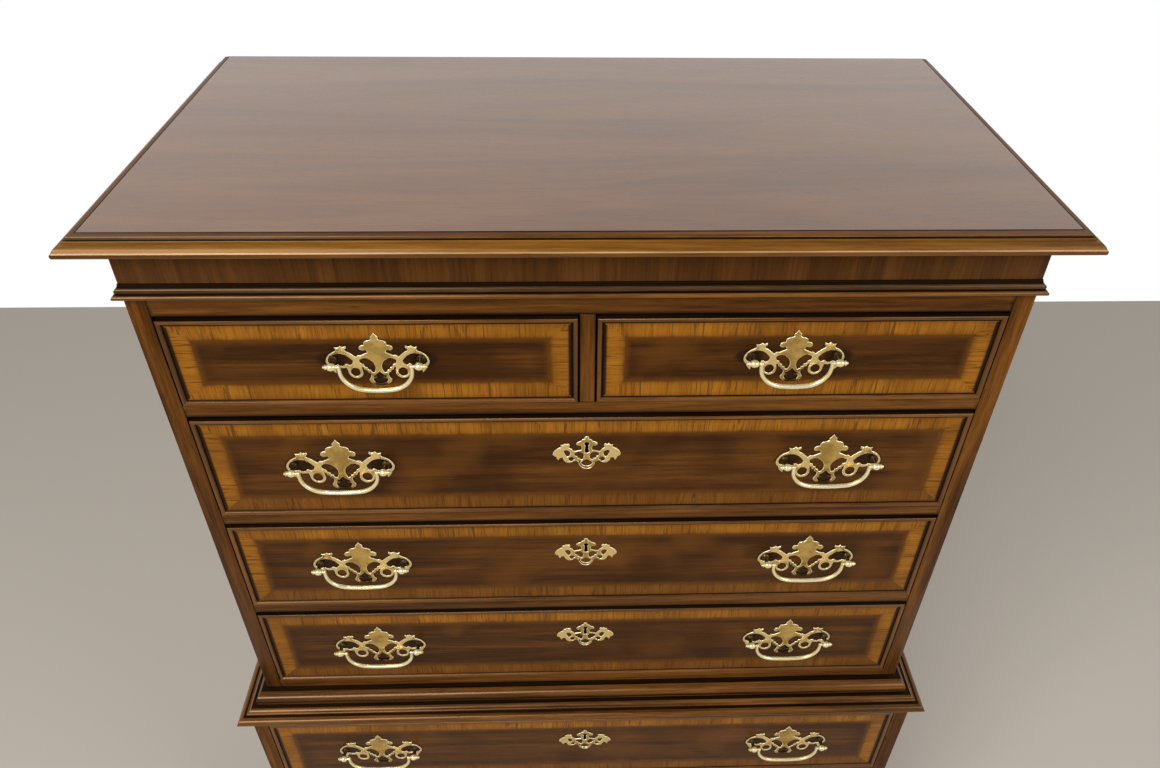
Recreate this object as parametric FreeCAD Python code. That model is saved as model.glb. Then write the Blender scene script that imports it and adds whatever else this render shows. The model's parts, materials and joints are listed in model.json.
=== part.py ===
import FreeCAD, Part
import math
import os

# Chest on chest in mahogany: two short and three long drawers over three long drawers,
# on ogee bracket feet. Millimetres. +Z is up, the drawers face -Y, the floor is Z = 0,
# and the origin is under the middle of the footprint.

# ---- carcase sizes ----
CASE_WIDTH = 890.0          # upper case, outside
UPPER_DEPTH = 461.0         # upper case, front face to back face
LOWER_STEP = 25.0           # the lower case is this much wider on each side and in front
SIDE_THICKNESS = 20.0
BACK_THICKNESS = 8.0
DIVIDER_HEIGHT = 16.0       # rails between drawers, and the upright between the short ones
DIVIDER_DEPTH = 60.0
RAIL_THICKNESS = 20.0       # rails that stand on edge at the top and bottom of each case
RUNNER_WIDTH = 34.0
DUST_PANEL_THICKNESS = 5.0
DECK_THICKNESS = 16.0

# ---- heights, from the floor up ----
FOOT_HEIGHT = 118.0
LOWER_BOTTOM_RAIL = 42.0
LOWER_DRAWER_3_HEIGHT = 178.0
LOWER_DRAWER_2_HEIGHT = 166.0
LOWER_DRAWER_1_HEIGHT = 154.0
LOWER_TOP_RAIL = 26.0
UPPER_BOTTOM_RAIL = 42.0
UPPER_LONG_HEIGHT = 149.0   # each of the three long openings of the upper case
SHORT_HEIGHT = 112.0        # opening of the two short drawers
UPPER_TOP_RAIL = 37.5
FRIEZE_HEIGHT = 44.9
FRIEZE_THICKNESS = 18.0
TOP_THICKNESS = 17.0

# ---- mouldings: how far each stands out from the case it is on ----
TOP_OVERHANG = 32.0
TOP_SETBACK = 13.5          # from the outer edge of the top board in to its flat upper face
NECK_HEIGHT = 15.0
NECK_OVERHANG = 7.4
WAIST_HEIGHT = 36.6
WAIST_OVERHANG = 39.0       # from the face of the upper case
WAIST_LAP = 10.0            # how far the waist moulding hangs down over the lower case
BASE_HEIGHT = 32.0
BASE_OVERHANG = 15.0

# ---- bracket feet ----
FOOT_LENGTH = 150.0
FOOT_TOE = 74.0             # width of the foot where it stands on the floor
FOOT_BACKSET = 12.0         # inner face of a bracket, inside the face of the case
FOOT_WEB = 20.0             # height left under the case at the thin end of the bracket
BLOCK_SIZE = 34.0
BLOCK_CLEAR = 3.0           # glue block, above the floor

# ---- drawers ----
FRONT_THICKNESS = 22.0
BEAD_WIDTH = 5.0            # cock-bead around the drawer front
BEAD_DEPTH = 10.0
BEAD_PROUD = 2.5
BEAD_EASE = 0.3             # share of the bead's width that is rounded off at each side
FLAT_LIMIT = 1e-6           # how far a face may be out of flat before it is split
CUT_PAST = 1.0              # how far a cutting shape runs past the piece that it cuts
ARC_FLATS = 4               # flats that each arc of a moulding or foot is worked as
DRAWER_SIDE = 12.0
DRAWER_BACK = 10.0
DRAWER_BOTTOM = 6.0
BOTTOM_RAISE = 8.0          # underside of the bottom panel above the lower edge of the side
GROOVE_DEPTH = 5.0
SIDE_DROP = 6.0             # the sides stop this far below the top of the front
UPPER_BOX_LENGTH = 425.0    # face of the drawer front to the back of the drawer
LOWER_BOX_LENGTH = 450.0
TAIL_LENGTH = 10.0          # dovetails let into the front
TAIL_PITCH = 60.0
TAIL_SHARE = 0.62           # share of the pitch that the tail takes at its root
TAIL_SLOPE = 1.0 / 6.0

# ---- clearances ----
DRAWER_SIDE_GAP = 1.5
DRAWER_TOP_GAP = 4.0
DRAWER_BOTTOM_GAP = 1.0
SLIDE_GAP = 0.3
GROOVE_GAP = 0.2

# ---- brasses ----
LONG_BORING = 101.6         # between post centres on the long drawers
SHORT_BORING = 88.9
PLATE_THICKNESS = 1.6
POST_RISE = 5.5             # post line above the middle of the opening
LONG_PULL_X_UPPER = 274.4   # pull centres from the middle of the case
LONG_PULL_X_LOWER = 300.3
SHORT_PULL_IN = 3.3         # short drawers: pull centre nearer the middle than the drawer's own centre
POST_STANDOFF = 14.0        # plate face to the axis that the bail turns on
POST_FOOT_RADIUS = 5.8      # foot of the post, on the plate
STEM_RADIUS = 2.5
HEAD_RADIUS = 4.8
POST_SIDES = 6
PIN_RADIUS = 1.5            # pin of the bail, across its corners
EYE_GAP = 0.06              # from the corners of the pin to the flats of the eye
PIN_SIDES = 8
EYE_DEPTH = 5.6
PIN_END_GAP = 0.6
BAIL_SIDES = 6
BAIL_LEG_RADIUS = 1.9
BAIL_GRIP_RADIUS = 2.5
BAIL_DROP = 31.0            # pivot axis to the centre line of the grip
BAIL_INSET = 8.4            # post centre to the centre line of the bail's leg
ESCUTCHEON_WIDTH = 76.0
ESCUTCHEON_RISE = 26.8      # keyhole above the middle of the opening

# ---- places that follow ----
HALF = CASE_WIDTH / 2
LOWER_HALF = HALF + LOWER_STEP
PULL_REACH = PLATE_THICKNESS + POST_STANDOFF + HEAD_RADIUS
Y_BACK = (UPPER_DEPTH + LOWER_STEP + PULL_REACH) / 2
UPPER_FRONT = Y_BACK - UPPER_DEPTH
LOWER_FRONT = UPPER_FRONT - LOWER_STEP
LOWER_OPENING = LOWER_HALF - SIDE_THICKNESS
UPPER_OPENING = HALF - SIDE_THICKNESS

Z_LOWER_3 = FOOT_HEIGHT + LOWER_BOTTOM_RAIL
Z_LOWER_2 = Z_LOWER_3 + LOWER_DRAWER_3_HEIGHT + DIVIDER_HEIGHT
Z_LOWER_1 = Z_LOWER_2 + LOWER_DRAWER_2_HEIGHT + DIVIDER_HEIGHT
Z_LOWER_RAIL = Z_LOWER_1 + LOWER_DRAWER_1_HEIGHT
Z_LOWER_TOP = Z_LOWER_RAIL + LOWER_TOP_RAIL
Z_UPPER_3 = Z_LOWER_TOP + UPPER_BOTTOM_RAIL
Z_UPPER_2 = Z_UPPER_3 + UPPER_LONG_HEIGHT + DIVIDER_HEIGHT
Z_UPPER_1 = Z_UPPER_2 + UPPER_LONG_HEIGHT + DIVIDER_HEIGHT
Z_SHORT = Z_UPPER_1 + UPPER_LONG_HEIGHT + DIVIDER_HEIGHT
Z_UPPER_RAIL = Z_SHORT + SHORT_HEIGHT
Z_FRIEZE = Z_UPPER_RAIL + UPPER_TOP_RAIL
Z_TOP_BOARD = Z_FRIEZE + FRIEZE_HEIGHT
Z_TOP = Z_TOP_BOARD + TOP_THICKNESS
Z_WAIST = Z_LOWER_TOP - WAIST_LAP


def vec(x, y, z):
    return FreeCAD.Vector(x, y, z)


def box(x0, x1, y0, y1, z0, z1):
    return Part.makeBox(x1 - x0, y1 - y0, z1 - z0, vec(x0, y0, z0))


def mirror_x(shape):
    return shape.mirror(vec(0, 0, 0), vec(1, 0, 0))


def save(node, solids):
    """Write one node. Solids that are separate pieces stay separate."""
    shape = solids[0] if len(solids) == 1 else Part.makeCompound(solids)
    shape.exportStep("parts/" + node + ".step")


def polygon(points, place):
    corners = [place(*p) for p in points]
    return Part.Face(Part.makePolygon(corners + [corners[0]]))


def outline(start, steps, place):
    """A closed face. A step is the next corner, or (point on an arc, end of the arc)."""
    points = [start]
    for step in steps:
        if isinstance(step[0], tuple):
            points += arc_flats(points[-1], *step)
        else:
            points.append(step)
    return polygon(points, place)


def arc_flats(start, middle, end):
    """Corners of the flats that a small arc is worked as, up to its end."""
    arc = Part.Arc(vec(*start, 0), vec(*middle, 0), vec(*end, 0))
    first, last = arc.FirstParameter, arc.LastParameter
    points = [arc.value(first + (last - first) * k / ARC_FLATS) for k in range(1, ARC_FLATS + 1)]
    return [(p.x, p.y) for p in points]


# ---- mouldings: a section in (distance out from the face, height), run round three sides ----

def mitre_region(half, front, reach, z0, z1, side):
    """Plan wedge that holds the front strip (side 0) or a return (side -1 or 1)."""
    if side == 0:
        corners = [(-half, front), (-half - reach, front - reach),
                   (half + reach, front - reach), (half, front)]
    else:
        corners = [(side * half, front), (side * (half + reach), front - reach),
                   (side * (half + reach), Y_BACK), (side * half, Y_BACK)]
    plan = polygon(corners, lambda x, y: vec(x, y, z0))
    return plan.extrude(vec(0, 0, z1 - z0))


def moulding(section, half, front, reach, z0, z1):
    """Front strip and two returns of one section, mitred at the corners."""
    strips = []
    for side in (0, -1, 1):
        if side == 0:
            face = section(lambda out, z: vec(-half - reach, front - out, z))
            run = face.extrude(vec(2 * (half + reach), 0, 0))
        else:
            face = section(lambda out, z: vec(side * (half + out), front - reach, z))
            run = face.extrude(vec(0, Y_BACK - front + reach, 0))
        strips.append(run.common(mitre_region(half, front, reach, z0, z1, side)))
    return [s.Solids[0] for s in strips]


def top_section(place):
    """Edge of the top board: a quirk, a small nosing, then a broad ovolo over a rounded lip."""
    lip = TOP_OVERHANG
    flat = TOP_OVERHANG - TOP_SETBACK
    nosing = flat + 4.0
    return outline((0.0, Z_TOP_BOARD), [
        (lip - 1.0, Z_TOP_BOARD),
        (lip, Z_TOP_BOARD + 1.2),
        (lip - 0.3, Z_TOP_BOARD + 4.6),
        (lip - 1.3, Z_TOP_BOARD + 5.6),
        ((lip - 3.9, Z_TOP_BOARD + 9.0), (nosing + 0.4, Z_TOP_BOARD + 10.9)),
        (nosing, Z_TOP_BOARD + 12.6),
        (flat + 1.6, Z_TOP_BOARD + 13.4),
        (flat + 0.9, Z_TOP - 1.0),
        (flat, Z_TOP),
        (0.0, Z_TOP)], place)


def neck_section(place):
    """Thin fillet under the frieze, then a leaning bead, a quirk and a rounded nosing."""
    top = Z_FRIEZE
    low = Z_FRIEZE - NECK_HEIGHT
    wide = NECK_OVERHANG
    return outline((0.0, low), [
        (wide - 1.6, low),
        (wide, low + 1.4),
        (wide - 0.4, low + 3.6),
        (wide - 2.2, low + 4.9),
        (wide - 3.8, low + 5.4),
        (wide - 3.2, low + 7.4),
        (wide - 4.2, low + 9.8),
        (wide - 5.8, low + 11.4),
        (wide - 6.2, low + 13.0),
        (wide - 6.8, top),
        (0.0, top)], place)


def waist_section(place):
    """Stepped waist: a fillet, a torus, a deep flat, a cove, a quirk and a broad nosing."""
    low = Z_WAIST
    top = Z_WAIST + WAIST_HEIGHT
    wide = WAIST_OVERHANG
    return outline((LOWER_STEP, low), [
        (wide, low + 0.6),
        (wide, low + 2.8),
        ((wide - 2.4, low + 6.6), (wide - 7.6, low + 8.8)),
        (wide - 11.4, low + 9.6),
        (wide - 11.8, low + 11.4),
        ((wide - 15.6, low + 13.2), (wide - 17.6, low + 16.2)),
        (wide - 24.0, low + 15.8),
        (wide - 24.6, low + 18.4),
        ((wide - 24.4, low + 23.0), (wide - 26.9, low + 27.0)),
        (wide - 31.4, low + 29.2),
        (wide - 31.9, top - 1.7),
        (0.0, top),
        (0.0, Z_LOWER_TOP),
        (LOWER_STEP, Z_LOWER_TOP)], place)


def base_section(place):
    """Base moulding of the lower case: an ogee over a square fillet."""
    low = FOOT_HEIGHT
    top = FOOT_HEIGHT + BASE_HEIGHT
    wide = BASE_OVERHANG
    return outline((0.0, low), [
        (wide, low),
        (wide, low + 11.0),
        (wide - 2.0, low + 12.4),
        ((wide - 3.0, low + 17.0), (wide - 7.0, low + 19.6)),
        ((wide - 10.6, low + 22.6), (wide - 11.6, low + 28.0)),
        (wide - 13.0, low + 28.6),
        (wide - 13.6, top),
        (0.0, top)], place)


def make_mouldings():
    top_edge = moulding(top_section, HALF, UPPER_FRONT, TOP_OVERHANG + CUT_PAST, Z_TOP_BOARD, Z_TOP)
    board = box(-HALF, HALF, UPPER_FRONT, Y_BACK, Z_TOP_BOARD, Z_TOP)
    save("top_board", [board.multiFuse(top_edge).removeSplitter().Solids[0]])
    save("neck_moulding", moulding(neck_section, HALF, UPPER_FRONT, NECK_OVERHANG + CUT_PAST,
                                   Z_FRIEZE - NECK_HEIGHT, Z_FRIEZE))
    save("waist_moulding", moulding(waist_section, HALF, UPPER_FRONT, WAIST_OVERHANG + CUT_PAST,
                                    Z_WAIST, Z_WAIST + WAIST_HEIGHT))
    save("base_moulding", moulding(base_section, LOWER_HALF, LOWER_FRONT, BASE_OVERHANG + CUT_PAST,
                                   FOOT_HEIGHT, FOOT_HEIGHT + BASE_HEIGHT))


# ---- carcases ----

def make_case_sides():
    upper = box(UPPER_OPENING, HALF, UPPER_FRONT, Y_BACK, Z_LOWER_TOP, Z_TOP_BOARD)
    notch = box(UPPER_OPENING, HALF, UPPER_FRONT, UPPER_FRONT + FRIEZE_THICKNESS, Z_FRIEZE, Z_TOP_BOARD)
    upper = upper.cut(notch)
    lower = box(LOWER_OPENING, LOWER_HALF, LOWER_FRONT, Y_BACK, FOOT_HEIGHT, Z_LOWER_TOP)
    save("upper_right_side", [upper])
    save("upper_left_side", [mirror_x(upper)])
    save("lower_right_side", [lower])
    save("lower_left_side", [mirror_x(lower)])
    y_panel = Y_BACK - BACK_THICKNESS
    save("upper_back_panel", [box(-UPPER_OPENING, UPPER_OPENING, y_panel, Y_BACK, Z_LOWER_TOP, Z_TOP_BOARD)])
    save("lower_back_panel", [box(-LOWER_OPENING, LOWER_OPENING, y_panel, Y_BACK, FOOT_HEIGHT, Z_LOWER_TOP)])
    save("frieze_board", [box(-HALF, HALF, UPPER_FRONT, UPPER_FRONT + FRIEZE_THICKNESS,
                              Z_FRIEZE, Z_TOP_BOARD)])


def edge_rail(half, front, z0, z1):
    return box(-half, half, front, front + RAIL_THICKNESS, z0, z1)


def divider_rail(half, front, z_top):
    return box(-half, half, front, front + DIVIDER_DEPTH, z_top - DIVIDER_HEIGHT, z_top)


def make_front_rails():
    upper = [edge_rail(UPPER_OPENING, UPPER_FRONT, Z_LOWER_TOP, Z_UPPER_3)]
    upper += [divider_rail(UPPER_OPENING, UPPER_FRONT, z) for z in (Z_UPPER_2, Z_UPPER_1, Z_SHORT)]
    upper.append(edge_rail(UPPER_OPENING, UPPER_FRONT, Z_UPPER_RAIL, Z_FRIEZE))
    save("upper_front_rails", upper)
    lower = [edge_rail(LOWER_OPENING, LOWER_FRONT, FOOT_HEIGHT, Z_LOWER_3)]
    lower += [divider_rail(LOWER_OPENING, LOWER_FRONT, z) for z in (Z_LOWER_2, Z_LOWER_1)]
    lower.append(edge_rail(LOWER_OPENING, LOWER_FRONT, Z_LOWER_RAIL, Z_LOWER_TOP))
    save("lower_front_rails", lower)


def runner_pair(half, y_start, z_top):
    """Two strips that carry a drawer at its sides, from the rail to the back panel."""
    right = box(half - RUNNER_WIDTH, half, y_start, Y_BACK - BACK_THICKNESS, z_top - DIVIDER_HEIGHT, z_top)
    return [right, mirror_x(right)]


def dust_panel(half, y_start, z_top):
    z = z_top - DIVIDER_HEIGHT / 2 - DUST_PANEL_THICKNESS / 2
    edge = half - RUNNER_WIDTH
    return box(-edge, edge, y_start, Y_BACK - BACK_THICKNESS, z, z + DUST_PANEL_THICKNESS)


def make_inner_frames():
    y_panel = Y_BACK - BACK_THICKNESS
    behind_divider = UPPER_FRONT + DIVIDER_DEPTH
    behind_rail = UPPER_FRONT + RAIL_THICKNESS
    upper = runner_pair(UPPER_OPENING, behind_rail, Z_UPPER_3)
    panels = [dust_panel(UPPER_OPENING, behind_rail, Z_UPPER_3)]
    for z in (Z_UPPER_2, Z_UPPER_1):
        upper += runner_pair(UPPER_OPENING, behind_divider, z)
        panels.append(dust_panel(UPPER_OPENING, behind_divider, z))
    upper += runner_pair(UPPER_OPENING, behind_divider, Z_SHORT)
    centre = DIVIDER_HEIGHT / 2 + RUNNER_WIDTH
    upper.append(box(-centre, centre, behind_divider, y_panel, Z_SHORT - DIVIDER_HEIGHT, Z_SHORT))
    upper += runner_pair(UPPER_OPENING, behind_rail, Z_UPPER_RAIL + DIVIDER_HEIGHT)
    save("upper_runners", upper)
    partition = box(-DIVIDER_HEIGHT / 2, DIVIDER_HEIGHT / 2, UPPER_FRONT, y_panel, Z_SHORT, Z_UPPER_RAIL)
    save("upper_partition", [partition])

    behind_divider = LOWER_FRONT + DIVIDER_DEPTH
    behind_rail = LOWER_FRONT + RAIL_THICKNESS
    lower = runner_pair(LOWER_OPENING, behind_rail, Z_LOWER_3)
    panels.append(dust_panel(LOWER_OPENING, behind_rail, Z_LOWER_3))
    for z in (Z_LOWER_2, Z_LOWER_1):
        lower += runner_pair(LOWER_OPENING, behind_divider, z)
        panels.append(dust_panel(LOWER_OPENING, behind_divider, z))
    save("lower_runners", lower)
    save("dust_panels", panels)
    save("lower_deck", [box(-LOWER_OPENING, LOWER_OPENING, behind_rail, y_panel,
                            Z_LOWER_TOP - DECK_THICKNESS, Z_LOWER_TOP)])


# ---- bracket feet ----

def foot_section(place):
    """Ogee of a bracket: full at the top, drawn in at the ankle, turned out at the toe."""
    wide = BASE_OVERHANG - 1.0
    return outline((-FOOT_BACKSET, 0.0), [
        (wide - 6.5, 0.0),
        (wide - 6.5, 11.0),
        ((wide - 12.0, 37.0), (wide - 6.5, 63.0)),
        ((wide, 91.0), (wide - 3.0, FOOT_HEIGHT)),
        (-FOOT_BACKSET, FOOT_HEIGHT)], place)


def foot_outline(place):
    """Face of a bracket along its length: a toe, a cusp and a long hollow to the thin end."""
    far = FOOT_LENGTH
    return outline((0.0, 0.0), [
        (FOOT_TOE, 0.0),
        ((FOOT_TOE - 3.0, 24.0), (FOOT_TOE + 8.0, 46.0)),
        (FOOT_TOE + 18.0, 50.0),
        ((FOOT_TOE + 36.0, FOOT_HEIGHT - FOOT_WEB - 10.0), (far, FOOT_HEIGHT - FOOT_WEB)),
        (far, FOOT_HEIGHT),
        (0.0, FOOT_HEIGHT)], place)


def foot_block(x_inner, y0, y1):
    """Glue block in the inner corner of a foot, just clear of the floor."""
    return box(x_inner - BLOCK_SIZE, x_inner, y0, y1, BLOCK_CLEAR, FOOT_HEIGHT)


def bracket_cut(place, direction):
    """Everything inside the sawn outline of a bracket, through its whole thickness."""
    depth = BASE_OVERHANG + FOOT_BACKSET + 2 * CUT_PAST
    return foot_outline(place).extrude(direction * depth)


def front_foot():
    """Two brackets mitred at the right-hand front corner, with their glue block."""
    corner = LOWER_HALF + BASE_OVERHANG
    front = LOWER_FRONT - BASE_OVERHANG
    reach = BASE_OVERHANG + FOOT_BACKSET
    face = foot_section(lambda out, z: vec(corner - FOOT_LENGTH, LOWER_FRONT - out, z))
    shape = bracket_cut(lambda u, z: vec(corner - u, front - CUT_PAST, z), vec(0, 1, 0))
    mitre = polygon([(corner, front), (corner - reach, front + reach), (corner - FOOT_LENGTH, front + reach),
                     (corner - FOOT_LENGTH, front)], lambda x, y: vec(x, y, 0))
    board = face.extrude(vec(FOOT_LENGTH, 0, 0))
    front_bracket = board.common(shape).common(mitre.extrude(vec(0, 0, FOOT_HEIGHT)))

    face = foot_section(lambda out, z: vec(LOWER_HALF + out, front, z))
    shape = bracket_cut(lambda u, z: vec(corner + CUT_PAST, front + u, z), vec(-1, 0, 0))
    mitre = polygon([(corner, front), (corner - reach, front + reach), (corner - reach, front + FOOT_LENGTH),
                     (corner, front + FOOT_LENGTH)], lambda x, y: vec(x, y, 0))
    board = face.extrude(vec(0, FOOT_LENGTH, 0))
    side_bracket = board.common(shape).common(mitre.extrude(vec(0, 0, FOOT_HEIGHT)))

    y_inner = LOWER_FRONT + FOOT_BACKSET
    block = foot_block(LOWER_HALF - FOOT_BACKSET, y_inner, y_inner + BLOCK_SIZE)
    return [front_bracket.Solids[0], side_bracket.Solids[0], block]


def rear_foot():
    """The side bracket turned end for end, a plain board across the back and a glue block."""
    corner = LOWER_HALF + BASE_OVERHANG
    x_inner = LOWER_HALF - FOOT_BACKSET
    y_board = Y_BACK - RAIL_THICKNESS
    face = foot_section(lambda out, z: vec(LOWER_HALF + out, Y_BACK - FOOT_LENGTH, z))
    shape = bracket_cut(lambda u, z: vec(corner + CUT_PAST, Y_BACK - u, z), vec(-1, 0, 0))
    bracket = face.extrude(vec(0, FOOT_LENGTH, 0)).common(shape)
    board = foot_outline(lambda u, z: vec(x_inner - u, y_board, z)).extrude(vec(0, RAIL_THICKNESS, 0))
    return [bracket.Solids[0], board, foot_block(x_inner, y_board - BLOCK_SIZE, y_board)]


def make_feet():
    for name, solids in (("front", front_foot()), ("rear", rear_foot())):
        save(name + "_right_foot", solids)
        save(name + "_left_foot", [mirror_x(s) for s in solids])


# ---- drawers ----

class Drawer:
    """Where one drawer sits: its opening, the case face it is flush with, and its pulls."""

    def __init__(self, name, x0, x1, z0, height, front, length, pulls, boring, keyhole):
        self.name = name
        self.x0 = x0 + DRAWER_SIDE_GAP
        self.x1 = x1 - DRAWER_SIDE_GAP
        self.z0 = z0 + DRAWER_BOTTOM_GAP
        self.z1 = z0 + height - DRAWER_TOP_GAP
        self.side_low = z0 + SLIDE_GAP
        self.side_top = self.z1 - SIDE_DROP
        self.front = front
        self.back = front + length
        self.post_z = z0 + height / 2 + POST_RISE * boring / LONG_BORING
        self.key_z = z0 + height / 2 + ESCUTCHEON_RISE
        self.pulls = pulls
        self.boring = boring
        self.keyhole = keyhole


def drawer_list():
    half = DIVIDER_HEIGHT / 2
    short_x = (UPPER_OPENING + half) / 2 - SHORT_PULL_IN
    up = (UPPER_FRONT, UPPER_BOX_LENGTH)
    low = (LOWER_FRONT, LOWER_BOX_LENGTH)
    upper_pulls = (("left", -LONG_PULL_X_UPPER), ("right", LONG_PULL_X_UPPER))
    lower_pulls = (("left", -LONG_PULL_X_LOWER), ("right", LONG_PULL_X_LOWER))
    drawers = [
        Drawer("short_drawer_left", -UPPER_OPENING, -half, Z_SHORT, SHORT_HEIGHT, *up,
               (("", -short_x),), SHORT_BORING, False),
        Drawer("short_drawer_right", half, UPPER_OPENING, Z_SHORT, SHORT_HEIGHT, *up,
               (("", short_x),), SHORT_BORING, False)]
    for number, z in ((1, Z_UPPER_1), (2, Z_UPPER_2), (3, Z_UPPER_3)):
        drawers.append(Drawer("upper_drawer_%d" % number, -UPPER_OPENING, UPPER_OPENING, z,
                              UPPER_LONG_HEIGHT, *up, upper_pulls, LONG_BORING, True))
    heights = ((1, Z_LOWER_1, LOWER_DRAWER_1_HEIGHT), (2, Z_LOWER_2, LOWER_DRAWER_2_HEIGHT),
               (3, Z_LOWER_3, LOWER_DRAWER_3_HEIGHT))
    for number, z, height in heights:
        drawers.append(Drawer("lower_drawer_%d" % number, -LOWER_OPENING, LOWER_OPENING, z,
                              height, *low, lower_pulls, LONG_BORING, True))
    return drawers


def dovetails(x0, x1, y_root, length, z0, z1):
    """Tails on the end of a side board: they widen away from the root."""
    count = max(2, int((z1 - z0) / TAIL_PITCH))
    pitch = (z1 - z0) / count
    half_root = pitch * TAIL_SHARE / 2
    half_end = half_root + abs(length) * TAIL_SLOPE
    tails = []
    for i in range(count):
        z = z0 + (i + 0.5) * pitch
        face = polygon([(y_root, z - half_root), (y_root + length, z - half_end),
                        (y_root + length, z + half_end), (y_root, z + half_root)],
                       lambda y, zz: vec(x0, y, zz))
        tails.append(face.extrude(vec(x1 - x0, 0, 0)))
    return tails


def ring_solid(rings):
    """Solid through rings of matching corners, its sides flat between one ring and the next."""
    faces = [Part.Face(Part.makePolygon(ring + [ring[0]])) for ring in (rings[0], rings[-1])]
    for near, far in zip(rings, rings[1:]):
        for k in range(len(near)):
            a, b, c, e = near[k - 1], near[k], far[k], far[k - 1]
            if abs((b - a).cross(e - a).normalize().dot(c - a)) < FLAT_LIMIT:
                faces.append(Part.Face(Part.makePolygon([a, b, c, e, a])))
            else:
                faces.append(Part.Face(Part.makePolygon([a, b, c, a])))
                faces.append(Part.Face(Part.makePolygon([a, c, e, a])))
    solid = Part.Solid(Part.Shell(faces))
    if solid.Volume < 0:
        solid.reverse()
    return solid


def bead_strips(d):
    """Four mitred strips round the drawer front, standing a little proud of its face."""
    w = BEAD_WIDTH
    nose = d.front - BEAD_PROUD
    ease = w * BEAD_EASE
    rear = d.front + BEAD_DEPTH
    section = [(0.0, rear), (w, rear), (w, nose + ease), (w - ease, nose), (ease, nose), (0.0, nose + ease)]
    low_left, low_right = (d.x0, d.z0), (d.x1, d.z0)
    top_left, top_right = (d.x0, d.z1), (d.x1, d.z1)

    def strip(start, end, inward, along):
        rings = []
        for corner, sign in ((start, 1), (end, -1)):
            step_x = inward[0] + sign * along[0]
            step_z = inward[1] + sign * along[1]
            rings.append([vec(corner[0] + depth * step_x, y, corner[1] + depth * step_z)
                          for depth, y in section])
        return ring_solid(rings)

    return [strip(low_left, low_right, (0, 1), (1, 0)),
            strip(top_left, top_right, (0, -1), (1, 0)),
            strip(low_left, top_left, (1, 0), (0, 1)),
            strip(low_right, top_right, (-1, 0), (0, 1))]


def make_drawer(d):
    y_rear = d.front + FRONT_THICKNESS
    inner0, inner1 = d.x0 + DRAWER_SIDE, d.x1 - DRAWER_SIDE
    z_panel = d.side_low + BOTTOM_RAISE
    z_floor = z_panel + DRAWER_BOTTOM
    groove_low = z_panel - GROOVE_GAP
    groove_high = z_floor + GROOVE_GAP

    # sides: dovetailed into the front, grooved for the bottom panel
    sides = []
    tails = []
    for x0, x1, groove_x in ((d.x0, inner0, inner0 - GROOVE_DEPTH), (inner1, d.x1, inner1)):
        side_tails = dovetails(x0, x1, y_rear, -TAIL_LENGTH, d.z0, d.side_top)
        board = box(x0, x1, y_rear, d.back, d.side_low, d.side_top).multiFuse(side_tails)
        groove = box(groove_x, groove_x + GROOVE_DEPTH, y_rear, d.back, groove_low, groove_high)
        sides.append(board.cut(groove).removeSplitter().Solids[0])
        tails += side_tails

    # the back stands on the bottom panel, between the sides
    back = box(inner0, inner1, d.back - DRAWER_BACK, d.back, groove_high, d.side_top)
    side_play = GROOVE_DEPTH - GROOVE_GAP
    bottom = box(inner0 - side_play, inner1 + side_play, y_rear, d.back, z_panel, z_floor)
    save(d.name + "_box", sides + [back, bottom])

    # the front is rebated round its edge for the bead, and let in for the tails
    w = BEAD_WIDTH
    front = box(d.x0, d.x1, d.front + BEAD_DEPTH, y_rear, d.z0, d.z1)
    front = front.fuse(box(d.x0 + w, d.x1 - w, d.front, y_rear, d.z0 + w, d.z1 - w))
    front = front.cut(Part.makeCompound(tails)).removeSplitter()
    save(d.name + "_front", [front.Solids[0]] + bead_strips(d))


# ---- brasses ----

def mirrored_wire(half, scale, place):
    """Close a right-hand half outline with its mirror image."""
    left = [(-x, z) for x, z in reversed(half) if x > 0]
    corners = [place(x * scale, z * scale) for x, z in half + left]
    return Part.makePolygon(corners + [corners[0]])


def hole_pair(points, scale, place):
    wires = []
    for side in (-1, 1):
        corners = [place(side * x * scale, z * scale) for x, z in points]
        wires.append(Part.makePolygon(corners + [corners[0]]))
    return wires


def pierced(half, middle_holes, side_holes, scale):
    """Flat plate with its face towards -Y: half outlines are mirrored about x = 0."""
    place = lambda x, z: vec(x, 0, z)
    face = Part.Face(mirrored_wire(half, scale, place))
    holes = [mirrored_wire(points, scale, place) for points in middle_holes]
    for points in side_holes:
        holes += hole_pair(points, scale, place)
    for wire in holes:
        face = face.cut(Part.Face(wire))
    return face.extrude(vec(0, -PLATE_THICKNESS, 0)).Solids[0]


def batwing_plate(boring):
    """Pierced batwing back plate, drawn in hundredths of its boring, with its posts on z = 0."""
    half = [
        (0.0, 37.0), (4.3, 29.5), (10.4, 25.2), (18.5, 20.3), (16.5, 15.4),   # leaf, scroll ear
        (9.5, 13.2), (9.5, 9.3), (24.6, 2.0), (33.7, 12.6), (33.1, 20.5),     # neck, arm, wing
        (46.5, 18.3), (45.3, 13.2), (55.5, 7.3), (59.4, -1.0), (55.3, -8.3),  # crest, round end
        (49.6, -18.9), (45.3, -12.2), (35.4, -17.3), (26.6, -23.8),           # tail, lower scroll
        (10.2, -21.3), (12.8, -28.9), (0.0, -38.1)]                           # hanging scroll
    oval = [(22.8, -2.4), (10.8, -1.6), (5.3, -9.4), (8.3, -17.1)]
    ring = [(31.9, -14.4), (26.9, -19.3), (22.0, -14.4), (26.9, -9.8)]
    crescent = [(29.1, 0.0), (34.8, 6.3), (40.0, 4.5), (37.0, -4.5)]
    drop = [(0.0, -16.1), (7.3, -26.6), (0.0, -33.9)]
    return pierced(half, [drop], [oval, ring, crescent], boring / 100)


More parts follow.
